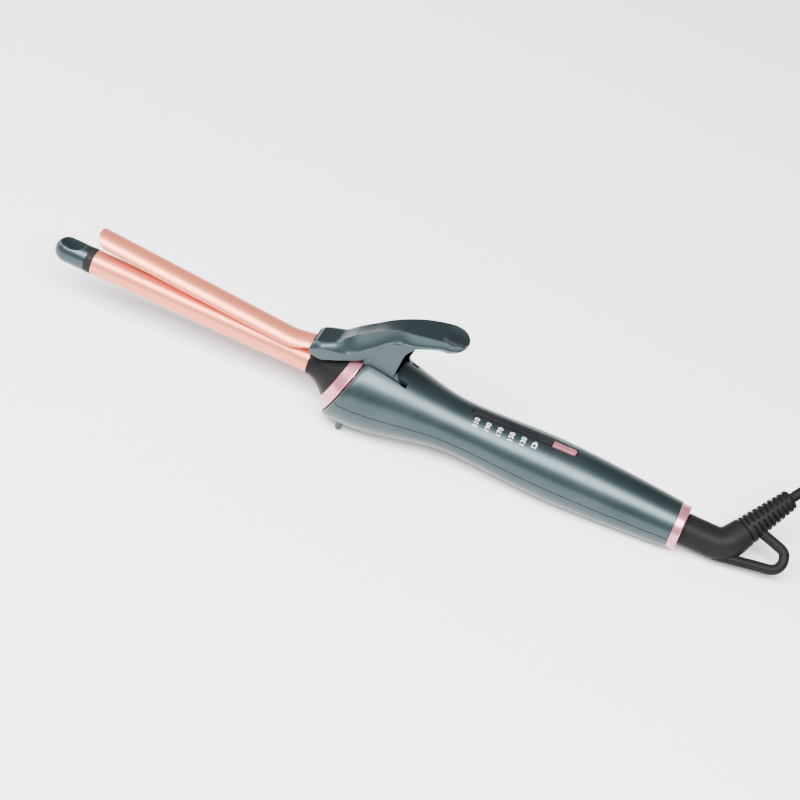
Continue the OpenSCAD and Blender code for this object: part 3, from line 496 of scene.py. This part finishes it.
# the hollow is the part of a ball of 13 mm that dips into the top of the tip
ball_at, ball_r = tool([tip_end + 8, 0, barrel_r + 10.4]), 0.013
off = cap - ball_at
side_ways = off - (off @ tool_z)[..., None] * tool_z
room = ball_r**2 - (side_ways**2).sum(-1)
drop = off @ tool_z + np.sqrt(np.clip(room, 0, None))
dipped = (room > 0) & (drop > 0) & (off @ tool_z > -ball_r * 1.2)
cap -= np.where(dipped, drop, 0)[..., None] * tool_z
solid("cool_tip_cap", [cap], teal, "handle", ["cool_tip"], crease=24)

# ---------------------------------------------------------------- front collar and its trim
# Black heat-resistant nose, a horn that swells from the barrel to the slanted joint, and behind it
# a slanted ring moulded in pink metallic plastic that is clipped between nose and shells.
front_x, nose_tilt, ring_t = -177.6, math.radians(20), 5.3
collar_x, collar_l, collar_lip, ring_front_r, ring_rear_r = -197.98, 15.4, 7.1, 16.1, 20.1
t = np.linspace(0, 1, 60)[:, None]
horn_r = collar_lip + (ring_front_r - 0.35 - collar_lip) * t**1.5
tilt = nose_tilt * t
horn_up = horn_r * np.cos(round_turn)
horn = np.stack([collar_x + collar_l * t + horn_up * np.sin(tilt), horn_r * np.sin(round_turn),
                 ring_t * math.sin(nose_tilt) * t + horn_up * np.cos(tilt)], -1)
lip = around_axis(collar_x - 0.25, collar_lip - 0.3)[None]
bore = around_axis(collar_x, barrel_r + 0.06)[None]
bore_end = bore + [collar_l + 1.6, 0, 0]
collar_plastic = rubbery("collar_plastic", (0.006, 0.006, 0.006), (0.012, 0.012, 0.012), 0.36, 0.4, 0.006)
solid("front_nose", [tool(np.concatenate([lip, horn, bore_end, bore]))], collar_plastic, "handle",
      ["front_collar"], ring=True)


def pink(name, rough):
    """Pink metallic plastic with a soft pearl that changes over a few millimetres."""
    made = Finish(name)
    flake, cloud = made.noise(0.1, detail=1), made.noise(7, detail=2)
    return made.set(height=made.noise(0.9), depth=0.004, Metallic=0.7,
                    Base_Color=(flake * 0.4 + cloud * 0.6).tint((0.52, 0.16, 0.21), (0.70, 0.30, 0.36)),
                    Roughness=flake * 0.08 + cloud * 0.06 + (rough - 0.07), Coat_Weight=0.3, Coat_Roughness=0.1)


pink_plastic = pink("pink_trim", 0.26)
trim_bore = 13.2
trim_ring = [[-ring_t, 15.2], [-ring_t, ring_front_r], [-0.95, ring_rear_r - 0.75], [-0.75, ring_rear_r - 0.3],
             [-0.15, ring_rear_r], [-0.15, trim_bore], [-ring_t + 0.8, trim_bore]]
solid("front_trim", [lathe(rounded(trim_ring, 0.25), nose_tilt, front_x)], pink_plastic, "handle",
      ["collar_trim_ring"], ring=True)

# ---------------------------------------------------------------- handle shells
# Two moulded ABS halves in teal metallic lacquer that meet on a level joint. The front rim is
# slanted and rounded over. The upper half has two slits for the cheeks of the clamp lever and the
# slot of the heat slider; the lower half stands on two small feet. Screws from below close them.
shell_rear_x = -4.6
handle_xs = np.array([front_x + 6.6, -117.0, -68.6, shell_rear_x])
handle_rs = np.array([22.4, 13.8, 15.5, 11.9])


def handle_r(x):
    """Radius of the handle: eased from the front to the waist and on to the belly, then a power of
    1.5 to the rear."""
    (x0, x1, x2, x3), (r0, r1, r2, r3) = handle_xs, handle_rs
    front = r0 + (r1 - r0) * eased((x - x0) / (x1 - x0)) + (r2 - r1) * eased((x - x1) / (x2 - x1))
    rear = r2 + (r3 - r2) * np.clip((x - x2) / (x3 - x2), 0, 1)**1.5
    return np.where(x < x2, front, rear)


def shell_grid(half):
    """Half of the handle wall as closed lengthwise loops, one for each angle: out along the skin and
    back inside. The skin rounds inward over the rim, and the rim's slant fades out behind it."""
    gap, thick, rim, rim_in, ring_gap = 0.2, 2.0, 3.4, 1.6, 0.45
    u = np.concatenate([rim * (1 - np.cos(np.linspace(0, np.pi / 2, 14))),
                        np.linspace(rim, shell_rear_x - front_x, 330)[1:]])
    skin_in = np.where(u < rim, rim_in * (1 - np.sqrt(np.clip(1 - ((rim - u) / rim)**2, 0, 1))), 0)
    slant = eased(1 - (u - 4) / 24)
    loops = []
    for level in np.linspace(-1, 1, 121):
        sides = []
        for depth_in, order in ((0.0, 1), (thick, -1)):
            x = front_x + u
            for _ in range(4):
                r = handle_r(x) - skin_in * (depth_in == 0) - depth_in
                turn = level * np.arccos(gap / r)
                back = r * np.cos(turn) * half * math.tan(nose_tilt) * slant
                x = np.minimum(front_x + u + ring_gap + back, shell_rear_x)
            sides.append(np.stack([x, r * np.sin(turn), half * r * np.cos(turn)], 1)[::order])
        loops.append(np.concatenate(sides))
    return np.array(loops)


def shell_mesh(name, half):
    """Mesh of shell_grid with its two long edges closed by quads between skin and inside."""
    grid = tool(shell_grid(half))
    rows, columns = grid.shape[:2]
    number = np.arange(rows * columns).reshape(rows, columns)
    lower, upper = number[:-1], number[1:]
    faces = np.stack([lower, np.roll(lower, -1, 1), np.roll(upper, -1, 1), upper], -1).reshape(-1, 4).tolist()
    for row in (number[0], number[-1]):
        out, back = row[:columns // 2], row[columns // 2:][::-1]
        faces += np.stack([out[:-1], out[1:], back[1:], back[:-1]], 1).tolist()
    mesh = bpy.data.meshes.new(name)
    mesh.from_pydata(grid.reshape(-1, 3).tolist(), [], faces)
    return mesh


def prism(name, outline, low, high, out):
    """Closed mesh of a flat outline [a, b] in tool millimetres, pushed from low to high square to it.
    out maps (a, b, height) rows to tool millimetres."""
    outline = np.asarray(outline, float)
    count = len(outline)
    points = np.concatenate([out(np.column_stack([outline, np.full(count, h)])) for h in (low, high)])
    ring = np.arange(count)
    faces = [ring[::-1].tolist(), (ring + count).tolist()]
    faces += np.stack([ring, np.roll(ring, -1), np.roll(ring, -1) + count, ring + count], 1).tolist()
    mesh = bpy.data.meshes.new(name)
    mesh.from_pydata(tool(points).tolist(), [], faces)
    return mesh


def carve(mesh, cutters):
    """The mesh minus the cutters, which are used up."""
    host = bpy.data.objects.new("host", mesh)
    bpy.context.scene.collection.objects.link(host)
    for closed in [mesh, *cutters]:
        outward(closed, False)
    blocks = [bpy.data.objects.new("cutter", cutter) for cutter in cutters]
    for block in blocks:
        bpy.context.scene.collection.objects.link(block)
        cut = host.modifiers.new("cut", "BOOLEAN")
        cut.object, cut.operation, cut.solver = block, "DIFFERENCE", "EXACT"
    bpy.context.view_layer.update()
    ready = host.evaluated_get(bpy.context.evaluated_depsgraph_get())
    result = bpy.data.meshes.new_from_object(ready)
    for spent in [host, *blocks]:
        bpy.data.objects.remove(spent)
    return result


pivot_x, pivot_z = -154.0, 11.0
slit_lower = np.array([[-46, -1.6], [-42, -2.7], [-38, -3.6], [-33.7, -1.6], [-26, 3], [-18.6, 8.2]])
slit = np.concatenate([[[-60, -2.1]], slit_lower - [0, 0.5], [[-15, -6.6], [6.6, -6.6], [6.6, 40], [-60, 40]]])
slit_y, slit_half = 8.15, 1.25
slits = [prism("slit", slit + [pivot_x, pivot_z], side * slit_y - slit_half, side * slit_y + slit_half,
               lambda p: p[:, [0, 2, 1]]) for side in (-1, 1)]
slide_x, slide_slope = -67.0, math.radians(2)
slide_up = float(handle_r(np.array(slide_x)))


def on_slide(p):
    """Tool millimetres of (along, across, height) points on the slider's sloped bed."""
    c, w = math.cos(slide_slope), math.sin(slide_slope)
    return np.stack([slide_x + p[..., 0] * c - p[..., 2] * w, p[..., 1],
                     slide_up + p[..., 0] * w + p[..., 2] * c], -1)


def stadium(length, width, count=24):
    """Outline of a slot with round ends, middle at the origin."""
    turn = np.linspace(-np.pi / 2, np.pi / 2, count)
    end = np.stack([(length - width) / 2 + width / 2 * np.cos(turn), width / 2 * np.sin(turn)], 1)
    return np.concatenate([end, -end])


slot_middle, slot_l, slot_w = -20.4, 54.6, 4.2
slot_cut = prism("slot", stadium(slot_l + 0.6, slot_w + 1.4) + [slot_middle, 0], -6, 8, on_slide)
upper = carve(shell_mesh("upper", 1), slits + [slot_cut])
piece("handle_upper_half", upper, teal, "handle", ["upper_shell"], crease=32)
piece("handle_lower_half", shell_mesh("lower", -1), teal, "handle", ["lower_shell"], crease=32)
foot_x, foot_y, foot_r, foot_low, foot_top = -173.2, 12, 1.8, -21.7, -17.2
foot_lean = np.linspace(0, np.pi / 2, 9)[:-1]
foot_rs = np.concatenate([[foot_r], foot_r * np.cos(foot_lean)])[:, None]
foot_zs = np.concatenate([[foot_top], foot_low - foot_r * np.sin(foot_lean)])[:, None]
foot_turn = np.linspace(0, 2 * np.pi, 24, endpoint=False)
foot_xs, foot_ys = foot_x + foot_rs * np.cos(foot_turn), foot_rs * np.sin(foot_turn)
feet = [tool(np.stack(np.broadcast_arrays(foot_xs, side * foot_y + foot_ys, foot_zs), -1)) for side in (-1, 1)]
solid("handle_feet", feet, teal, "handle")

# ---------------------------------------------------------------- clamp
# A spoon-shaped blade of anodised aluminium sheet hugs the barrel. It is screwed under a moulded
# teal lever, whose two cheeks reach through the slits to the hinge pin inside the handle.
rest_open = math.radians(4.5)


def opened(points):
    """Tool millimetres of the closed clamp, turned about its pin by the angle that it rests at, in metres."""
    pin = [pivot_x, 0, pivot_z]
    return tool(turned_about_y(np.asarray(points, float) - pin, rest_open) + pin)


def curve_through(points, x):
    """Value at each x of a smooth curve through [x, value] points."""
    p = np.asarray(points, float)
    i = np.clip(np.searchsorted(p[:, 0], x, side="right") - 1, 0, len(p) - 2)
    v, last = p[:, 1], len(p) - 1
    a, b, c, d = v[np.maximum(i - 1, 0)], v[i], v[i + 1], v[np.minimum(i + 2, last)]
    t = (x - p[i, 0]) / (p[i + 1, 0] - p[i, 0])
    return cubic(a, b, c, d, t)


def strip(share, radius, sideways):
    """Rows of [share of the half arc, radius, millimetres sideways] of the blade's section."""
    return np.stack(np.broadcast_arrays(share, radius, sideways), 1)


blade_in, blade_t, blade_arc, blade_nose = 6.9, 1.1, 60.0, 7
blade_tip, blade_bend, blade_end = -317.28, -209.6, -188.1
bend_half, blade_slope, arc_lost = 4, 0.3, 14
blade_x = np.concatenate([blade_tip + blade_nose - blade_nose * np.cos(np.linspace(0.05, np.pi / 2, 24)),
                          np.linspace(blade_tip + blade_nose, blade_bend - bend_half, 60)[1:],
                          np.linspace(blade_bend - bend_half, blade_end, 40)[1:]])
past = blade_x - blade_bend
in_bend = (past + bend_half)**2 / (4 * bend_half)
blade_lift = blade_slope * np.where(past < -bend_half, 0, np.where(past < bend_half, in_bend, past))
to_nose = np.clip(blade_tip + blade_nose - blade_x, 0, None) / blade_nose
blade_half = np.radians(blade_arc * np.sqrt(np.clip(1 - to_nose**2, 0.003, 1)) - arc_lost * eased(past / 12))
edge = np.linspace(0, np.pi, 9)
sweep_share = np.linspace(1, -1, 60)
edge_r = blade_t / 2
section = np.concatenate([strip(sweep_share, blade_in + blade_t, 0),
                          strip(-1, blade_in + edge_r + edge_r * np.cos(edge), -edge_r * np.sin(edge))[1:-1],
                          strip(-sweep_share, blade_in, 0),
                          strip(1, blade_in + edge_r - edge_r * np.cos(edge), edge_r * np.sin(edge))[1:-1]])
angle = section[:, 0] * blade_half[:, None] + section[:, 2] / section[:, 1]
spoon = around_axis(blade_x[:, None], section[:, 1], angle)
spoon[..., 2] += blade_lift[:, None]
blade_gold = anodised("rose_gold_blade", 0.34, 0.003)
solid("clamp_spoon", [opened(spoon)], blade_gold, "clamp", ["clamp_blade"], crease=40)

# [x, value] from the pin: the lever's top line, half the width of its top face, the edge between
# flank and side, and its underside
lever_top = [[-45, 2.6], [-43.4, 4.2], [-33.8, 9.1], [-26.9, 16.8], [-19.9, 23.6], [-13.4, 29.6], [-6.7, 34],
             [1.1, 37.5], [9, 40.5], [17.5, 42.6], [24.4, 41.6]]
lever_half = [[-45, 4.6], [-42, 4.7], [-33, 4.7], [-20, 4.4], [-12, 4.7], [-6, 5.6], [1, 6.9], [9, 7.4],
              [24.4, 7.4]]
lever_band = [[-45, -1], [-40, 3], [-30, 6.2], [-24, 9.6], [-16, 17.6], [-8, 26.8], [1, 31.2], [9, 35.4],
              [24.4, 39.6]]
lever_low = [[-45, -2.6], [-42, -3.3], [-38, -3.4], [-33.7, -1.0], [-26, 3.6], [-18.6, 8.8], [-9, 19],
             [2.6, 29.7], [6.3, 32.8], [12.6, 36.4], [19.3, 38.1], [24.4, 39.6]]
lever_front, front_soft, thumb_end, thumb_r, lever_side = -45, 4, 16.2, 8.2, 9.0
lever_x = np.concatenate([lever_front + 6 * (1 - np.cos(np.linspace(0.12, np.pi / 2, 16))),
                          np.linspace(lever_front + 6, thumb_end, 110)[1:],
                          thumb_end + thumb_r * np.sin(np.linspace(0, np.pi / 2, 30))[1:]])
top, low = curve_through(lever_top, lever_x), curve_through(lever_low, lever_x)
# the width closes as a half circle round the thumb's end, and a little at the blade's end
rear_round = np.sqrt(np.clip(1 - ((lever_x - thumb_end) / thumb_r)**2, 0.02, 1))
front_in = (lever_x - lever_front - front_soft) / front_soft
front_round = 0.88 + 0.12 * np.sqrt(np.clip(1 - front_in**2, 0, 1))
shrink = np.where(lever_x > thumb_end, rear_round, np.where(front_in < 0, front_round, 1))
flat = curve_through(lever_half, lever_x) * shrink
out = lever_side * shrink
band = np.minimum(np.maximum(curve_through(lever_band, lever_x), low + 0.8), top - 0.9)
# the underside is hollow between the cheeks, up to a roof
room_w = np.where(lever_x > 2, out * 0.6, 7.3 * shrink)
room_z = np.where(lever_x > 2, low + 0.8, np.maximum(top - 1.8, low + 0.4))
hollow = eased((lever_x + 38) / 16)
dish, crease_drop, dish_share = 0.30, 0.35, 0.94
crease_z = top - crease_drop * hollow
columns = []
for f in np.linspace(0, dish_share, 16):
    # the top face is a shallow hollow between two creases
    columns.append((flat * f, top - dish * (1 - (f / dish_share)**2) * hollow))
columns += [(flat * 0.985, top - 0.1 * hollow), (flat, crease_z)]
for f in np.linspace(0.06, 0.97, 14):
    # the flanks are full at the blade's end and hollow under the thumb
    drop_share = (1 - hollow) * f**2.2 + hollow * (1 - (1 - f)**1.8)
    columns.append((flat + (out - flat) * f, crease_z - (crease_z - band) * drop_share))
columns.append((out - 0.03, band))
for f in (0.06, 0.3, 0.6, 0.9):
    columns.append((out, band + (low + 0.25 - band) * f))
columns += [(out - 0.08, low + 0.06), (out - 0.3, low), (room_w, low),
            (room_w * 0.96, np.maximum(low + 0.2, np.minimum(band, room_z - 0.2))),
            (np.minimum(flat, room_w) * 0.8, room_z), (room_w * 0, room_z)]
side = np.array(columns).transpose(2, 0, 1)
halves = [np.stack([np.broadcast_to(lever_x[:, None], half.shape[:2]), sign * half[..., 0], half[..., 1]], -1)
          for half, sign in ((side, -1), (side[:, -2:0:-1], 1))]
loft = np.concatenate(halves, 1)
# the thumb's hollow near the rear end is a shallow cap of a ball
thumb_ball_r, thumb_x, thumb_z = 18.0, 16, 58.4
over = thumb_ball_r**2 - (loft[..., 0] - thumb_x)**2 - loft[..., 1]**2
floor_z = thumb_z - np.sqrt(np.clip(over, 0, None))
upper_side = loft[..., 2] > (low + 0.5 * (top - low))[:, None]
loft[..., 2] = np.where((over > 0) & upper_side, np.minimum(loft[..., 2], floor_z), loft[..., 2])
cheek = smooth_through([[-18.0, 8.9], [-14.1, 1.2], [-8.6, -4.0], [-4, -5.8], [0, -6], [4, -4.6], [5.6, -1],
                        [4.6, 3.4], [1.6, 7.4], [-0.4, 11], [-1, 17.2], [-0.4, 24.7], [3, 30.6]], 6)
cheek = np.concatenate([cheek, [[-4, 30], [-11, 21]]])
inward = cheek.mean(0) - cheek
softened = cheek + 0.25 * inward / np.linalg.norm(inward, axis=1)[:, None]
layers = ((softened, 7.3), (cheek, 7.5), (cheek, 8.75), (softened, 8.96))
cheeks = [opened(np.array([np.column_stack([line[:, 0], np.full(len(line), sign * y), line[:, 1]])
                           for line, y in layers]) + [pivot_x, 0, pivot_z]) for sign in (-1, 1)]
solid("clamp_lever", [opened(loft + [pivot_x, 0, pivot_z]), *cheeks], teal, "clamp", ["lever"], crease=22)
steel = Finish("bright_steel")
steel.set(Metallic=1.0, Base_Color=steel.noise(0.3, (30, 1, 1)).tint((0.42, 0.43, 0.44), (0.62, 0.62, 0.63)),
          Roughness=steel.noise(2) * 0.1 + 0.24)

# ---------------------------------------------------------------- heat slider
# A black channel set into the upper half, and in it the pink knob that is pushed along to choose
# the heat. White figures beside it give the heat, and fine ribs on the other side guide the thumb.


def bed_ring(outline, height):
    """The outline [along, across] in metres, laid level at a height over the slider's bed."""
    return tool(on_slide(np.column_stack([outline, np.full(len(outline), height)])))


# length, width and height of the rings, in their order over the channel's skin
wire_l, wire_w, channel_low, channel_floor = 50, 1.7, -3.5, -2.1
track_rows = [(slot_l + 1.8, slot_w + 1.4, channel_low), (slot_l + 1.8, slot_w + 1.4, -0.55),
              (slot_l + 1.7, slot_w + 1.3, -0.4), (slot_l + 0.7, slot_w + 0.3, -0.4),
              (slot_l + 0.5, slot_w + 0.1, -0.55), (slot_l, slot_w, channel_floor),
              (wire_l, wire_w, channel_floor), (wire_l, wire_w, channel_low)]
track = np.array([bed_ring(stadium(a, b) + [slot_middle, 0], h) for a, b, h in track_rows])
track_black = rubbery("track_plastic", (0.010, 0.010, 0.011), (0.022, 0.022, 0.024), 0.3, 0.3, 0.004)
solid("slider_channel", [track], track_black, "handle", ["slider_track"], ring=True)
knob_rows = [(13.2, 3.4, -1.8), (13.2, 3.4, 0.0), (13.1, 3.3, 0.2), (12.85, 3.05, 0.34), (12.4, 2.6, 0.4)]
front_cut = 1.1
knob = np.array([bed_ring(np.maximum(stadium(a, b), [front_cut - a / 2, -b]), h) for a, b, h in knob_rows])
knob_pink = pink("knob_pink", 0.3)
solid("heat_knob", [knob], knob_pink, "slider", ["slider_knob"], crease=30)

ink = Finish("white_print")
ink_spots = ink.noise(0.15)
ink.set(Base_Color=ink_spots.tint((0.72, 0.73, 0.74), (0.86, 0.87, 0.88)), Roughness=ink_spots * 0.1 + 0.45)
ink_half, ink_lift = 0.02, 0.015


def printed(name, flat_mesh, at_x, near_y):
    """Lays a flat mesh, in millimetres, on the handle's near side: its x runs up to the slot, ending
    at near_y, and its y runs towards the tip."""
    co = np.array([v.co for v in flat_mesh.vertices])
    x = at_x - co[:, 1]
    turn = (near_y + co[:, 0] - co[:, 0].max()) / handle_r(x)
    laid = around_axis(x, handle_r(x) + ink_lift + co[:, 2], turn)
    flat_mesh.vertices.foreach_set("co", tool(laid).ravel())
    piece(name, flat_mesh, ink.material, "handle", crease=30)


def lettering(text, high):
    """Flat closed mesh of a number, its left end at the origin and its middle line on the x axis."""
    data = bpy.data.curves.new("text", "FONT")
    data.body, data.size, data.extrude, data.align_y = text, high * 1.35, ink_half, "CENTER"
    holder = bpy.data.objects.new("text", data)
    bpy.context.scene.collection.objects.link(holder)
    bpy.context.view_layer.update()
    mesh = bpy.data.meshes.new_from_object(holder.evaluated_get(bpy.context.evaluated_depsgraph_get()))
    bpy.data.objects.remove(holder)
    return mesh


digit_h, digit_y = 2.6, -3.7
scale_at = {"210": -110.3, "190": -104.2, "170": -98.1, "150": -92.0, "130": -85.9}
for number, at_x in scale_at.items():
    printed("scale_" + number, lettering(number, digit_h), at_x, digit_y)
# the padlock mark behind them is a bow over a case, both drawn as thin bands
lock_turn = np.linspace(0, np.pi, 13)
bow = np.stack([1.3 * np.sin(lock_turn), 0.85 * np.cos(lock_turn)], 1)
case = np.array([[0, -1.25], [2.3, -1.25], [2.3, 1.25], [0, 1.25]])
case_in = (case - case.mean(0)) * [0.66, 0.68] + case.mean(0)
for mark, line, within, near_y in (("bow", bow, bow * [0.66, 0.58], -3.8), ("case", case, case_in, -4.9)):
    edges = ((line, -ink_half), (line, ink_half), (within, ink_half), (within, -ink_half))
    mark_grid = np.array([np.column_stack([shape, np.full(len(shape), h)]) for shape, h in edges])
    printed("scale_lock_" + mark, grid_mesh("lock", [mark_grid], ring=True), -80.2, near_y)

# the ribs are a wave along the handle, lowered at both ends across it, on a strip sunk into the skin
rib_pitch, rib_h, rib_sunk = 0.95, 0.28, 0.2
rib_x = np.linspace(-114.5, -61.0, 900)[:, None]
rib_across = np.array([0, 0.8, 1, 1, 1, 1, 1, 0.8, 0])
rib_y = np.linspace(3.35, 5.3, len(rib_across))
lift = rib_h * (0.5 + 0.5 * np.cos(2 * np.pi * (rib_x - rib_x[-1]) / rib_pitch)) * rib_across - 0.02
rib_r = handle_r(rib_x)
rib_turn = np.arcsin(rib_y / rib_r)
rib_strip = np.concatenate([around_axis(rib_x, rib_r + lift, rib_turn),
                            around_axis(rib_x, rib_r - rib_sunk, rib_turn)[:, ::-1]], 1)
solid("thumb_ribs", [tool(rib_strip)], teal, "handle", crease=30)

# ---------------------------------------------------------------- rear trim
# Pink ring of the same plastic as the front one, pressed over the rear of both shells. It closes
# the joint round the turning elbow.
rear_ring = [[-4.5, 11.35], [-0.6, 11.45], [-0.1, 11.2], [0, 10.7], [0, 8.5], [-4.5, 8.5]]
solid("rear_trim", [lathe(rounded(rear_ring, 0.3))], pink_plastic, "handle", ["rear_trim_ring"], ring=True)

# ---------------------------------------------------------------- mains plug
# Moulded two-pin plug on the end of the cord: black PVC body that narrows to a ribbed relief, and
# two round brass pins, nickel-plated, with insulating sleeves next to the body.
plug_low, plug_high = (np.array(corner) * 1000 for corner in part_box("plug_body"))
plug_x0, plug_x1 = plug_low[0], plug_high[0]
plug_y, plug_z = (plug_low[1:] + plug_high[1:]) / 2
plug_turn = np.linspace(0, 2 * np.pi, 72, endpoint=False)
turn_c, turn_s = np.cos(plug_turn), np.sin(plug_turn)


def plug_rings(x, across, up):
    """Rings in metres at x, from their millimetres across and up from the plug's middle line."""
    return 0.001 * np.stack(np.broadcast_arrays(x, plug_y + across, plug_z + up), -1)


# the section grows from round to a rounded rectangle, ribbed over the relief and rounded at the face
relief_l, rib_depth, face_r = 14, 0.5, 1.2
gone = np.linspace(0, plug_x1 - plug_x0, 110)[:, None]
swell = eased((gone - 12) / 16)
ribbed = rib_depth * ((gone < relief_l) & (np.cos(gone * 2.4) > 0.2))
face = face_r * (1 - np.sqrt(1 - (1 - np.clip((plug_x1 - plug_x0 - gone) / face_r, 0, 1))**2))
wide, thick = 4.0 + 13.4 * swell - ribbed - face, 3.9 + 2.9 * swell - ribbed - face
power = 1 - 0.35 * swell
plug_grid = plug_rings(plug_x0 + gone, wide * np.sign(turn_c) * np.abs(turn_c)**power,
                       thick * np.sign(turn_s) * np.abs(turn_s)**power)
plug = solid("plug_moulding", [plug_grid], cord_black, "handle", ["plug_body"], crease=40)
pin_pitch = 18.6
pin_x = plug_x1 + np.array([-1, 17.6, 18.4, 18.8, 18.95])[:, None]
pin_r = np.array([2.0, 2.0, 1.75, 1.2, 0.5])[:, None]
pins = [plug_rings(pin_x, side * pin_pitch / 2 + pin_r * turn_c, pin_r * turn_s) for side in (-1, 1)]
plug_pins = solid("plug_contacts", pins, steel.material, "handle", ["plug_pins"], crease=30)

# ---------------------------------------------------------------- parts inside
# Heater, hinge, spring, board and swivel contacts, which the shells hide. Each keeps its own
# shape and gets the finish of what it is made of.


def inner(name, dark, light, rough, metal=0.0):
    """Plain material whose tone and gloss change softly over a few millimetres."""
    made = Finish(name)
    cloud = made.noise(3, detail=3)
    return made.set(Base_Color=cloud.tint(dark, light), Roughness=cloud * 0.15 + (rough - 0.07), Metallic=metal)


finishes = [
    (inner("core_aluminium", (0.55, 0.56, 0.57), (0.72, 0.72, 0.73), 0.35, 1.0),
     ["heater_core_upper", "heater_core_lower"]),
    (inner("dark_ceramic", (0.05, 0.05, 0.05), (0.10, 0.10, 0.10), 0.6), ["ptc_chips"]),
    (inner("brass", (0.62, 0.42, 0.15), (0.75, 0.53, 0.22), 0.3, 1.0),
     ["electrode_plates", "brush_contacts", "slip_rings"]),
    (inner("amber_film", (0.42, 0.20, 0.03), (0.55, 0.28, 0.05), 0.3), ["insulating_film"]),
    (inner("red_bead", (0.5, 0.08, 0.02), (0.6, 0.12, 0.04), 0.35), ["temperature_sensor"]),
    (inner("pale_plastic", (0.55, 0.53, 0.46), (0.66, 0.64, 0.58), 0.45),
     ["thermal_fuse", "tip_plug", "barrel_holder", "contact_carrier", "swivel_retainer", "heater_leads"]),
    (steel.material,
     ["tip_screw", "shell_screws", "hinge_pin", "clamp_spring", "clamp_screws", "slide_potentiometer"]),
    (inner("green_board", (0.01, 0.09, 0.03), (0.02, 0.14, 0.05), 0.4), ["circuit_board"]),
    (inner("black_moulding", (0.012, 0.012, 0.013), (0.03, 0.03, 0.032), 0.45),
     ["control_chip", "triac", "slider_carriage", "swivel_hub", "mains_leads"]),
    (inner("yellow_capacitor", (0.5, 0.34, 0.05), (0.6, 0.42, 0.08), 0.4), ["film_capacitor"]),
]
for finish, members in finishes:
    for member in members:
        frame["nodes"][member].data.materials.clear()
        frame["nodes"][member].data.materials.append(finish)

floor_finish = Finish("white_floor")
floor_cloud = floor_finish.noise(300, detail=1)
floor.data.materials.append(floor_finish.set(
    Base_Color=floor_cloud.tint((0.93, 0.93, 0.93), (0.96, 0.96, 0.96)), Roughness=0.9,
    Emission_Color=(0.95, 0.97, 1.0), Emission_Strength=0.35))
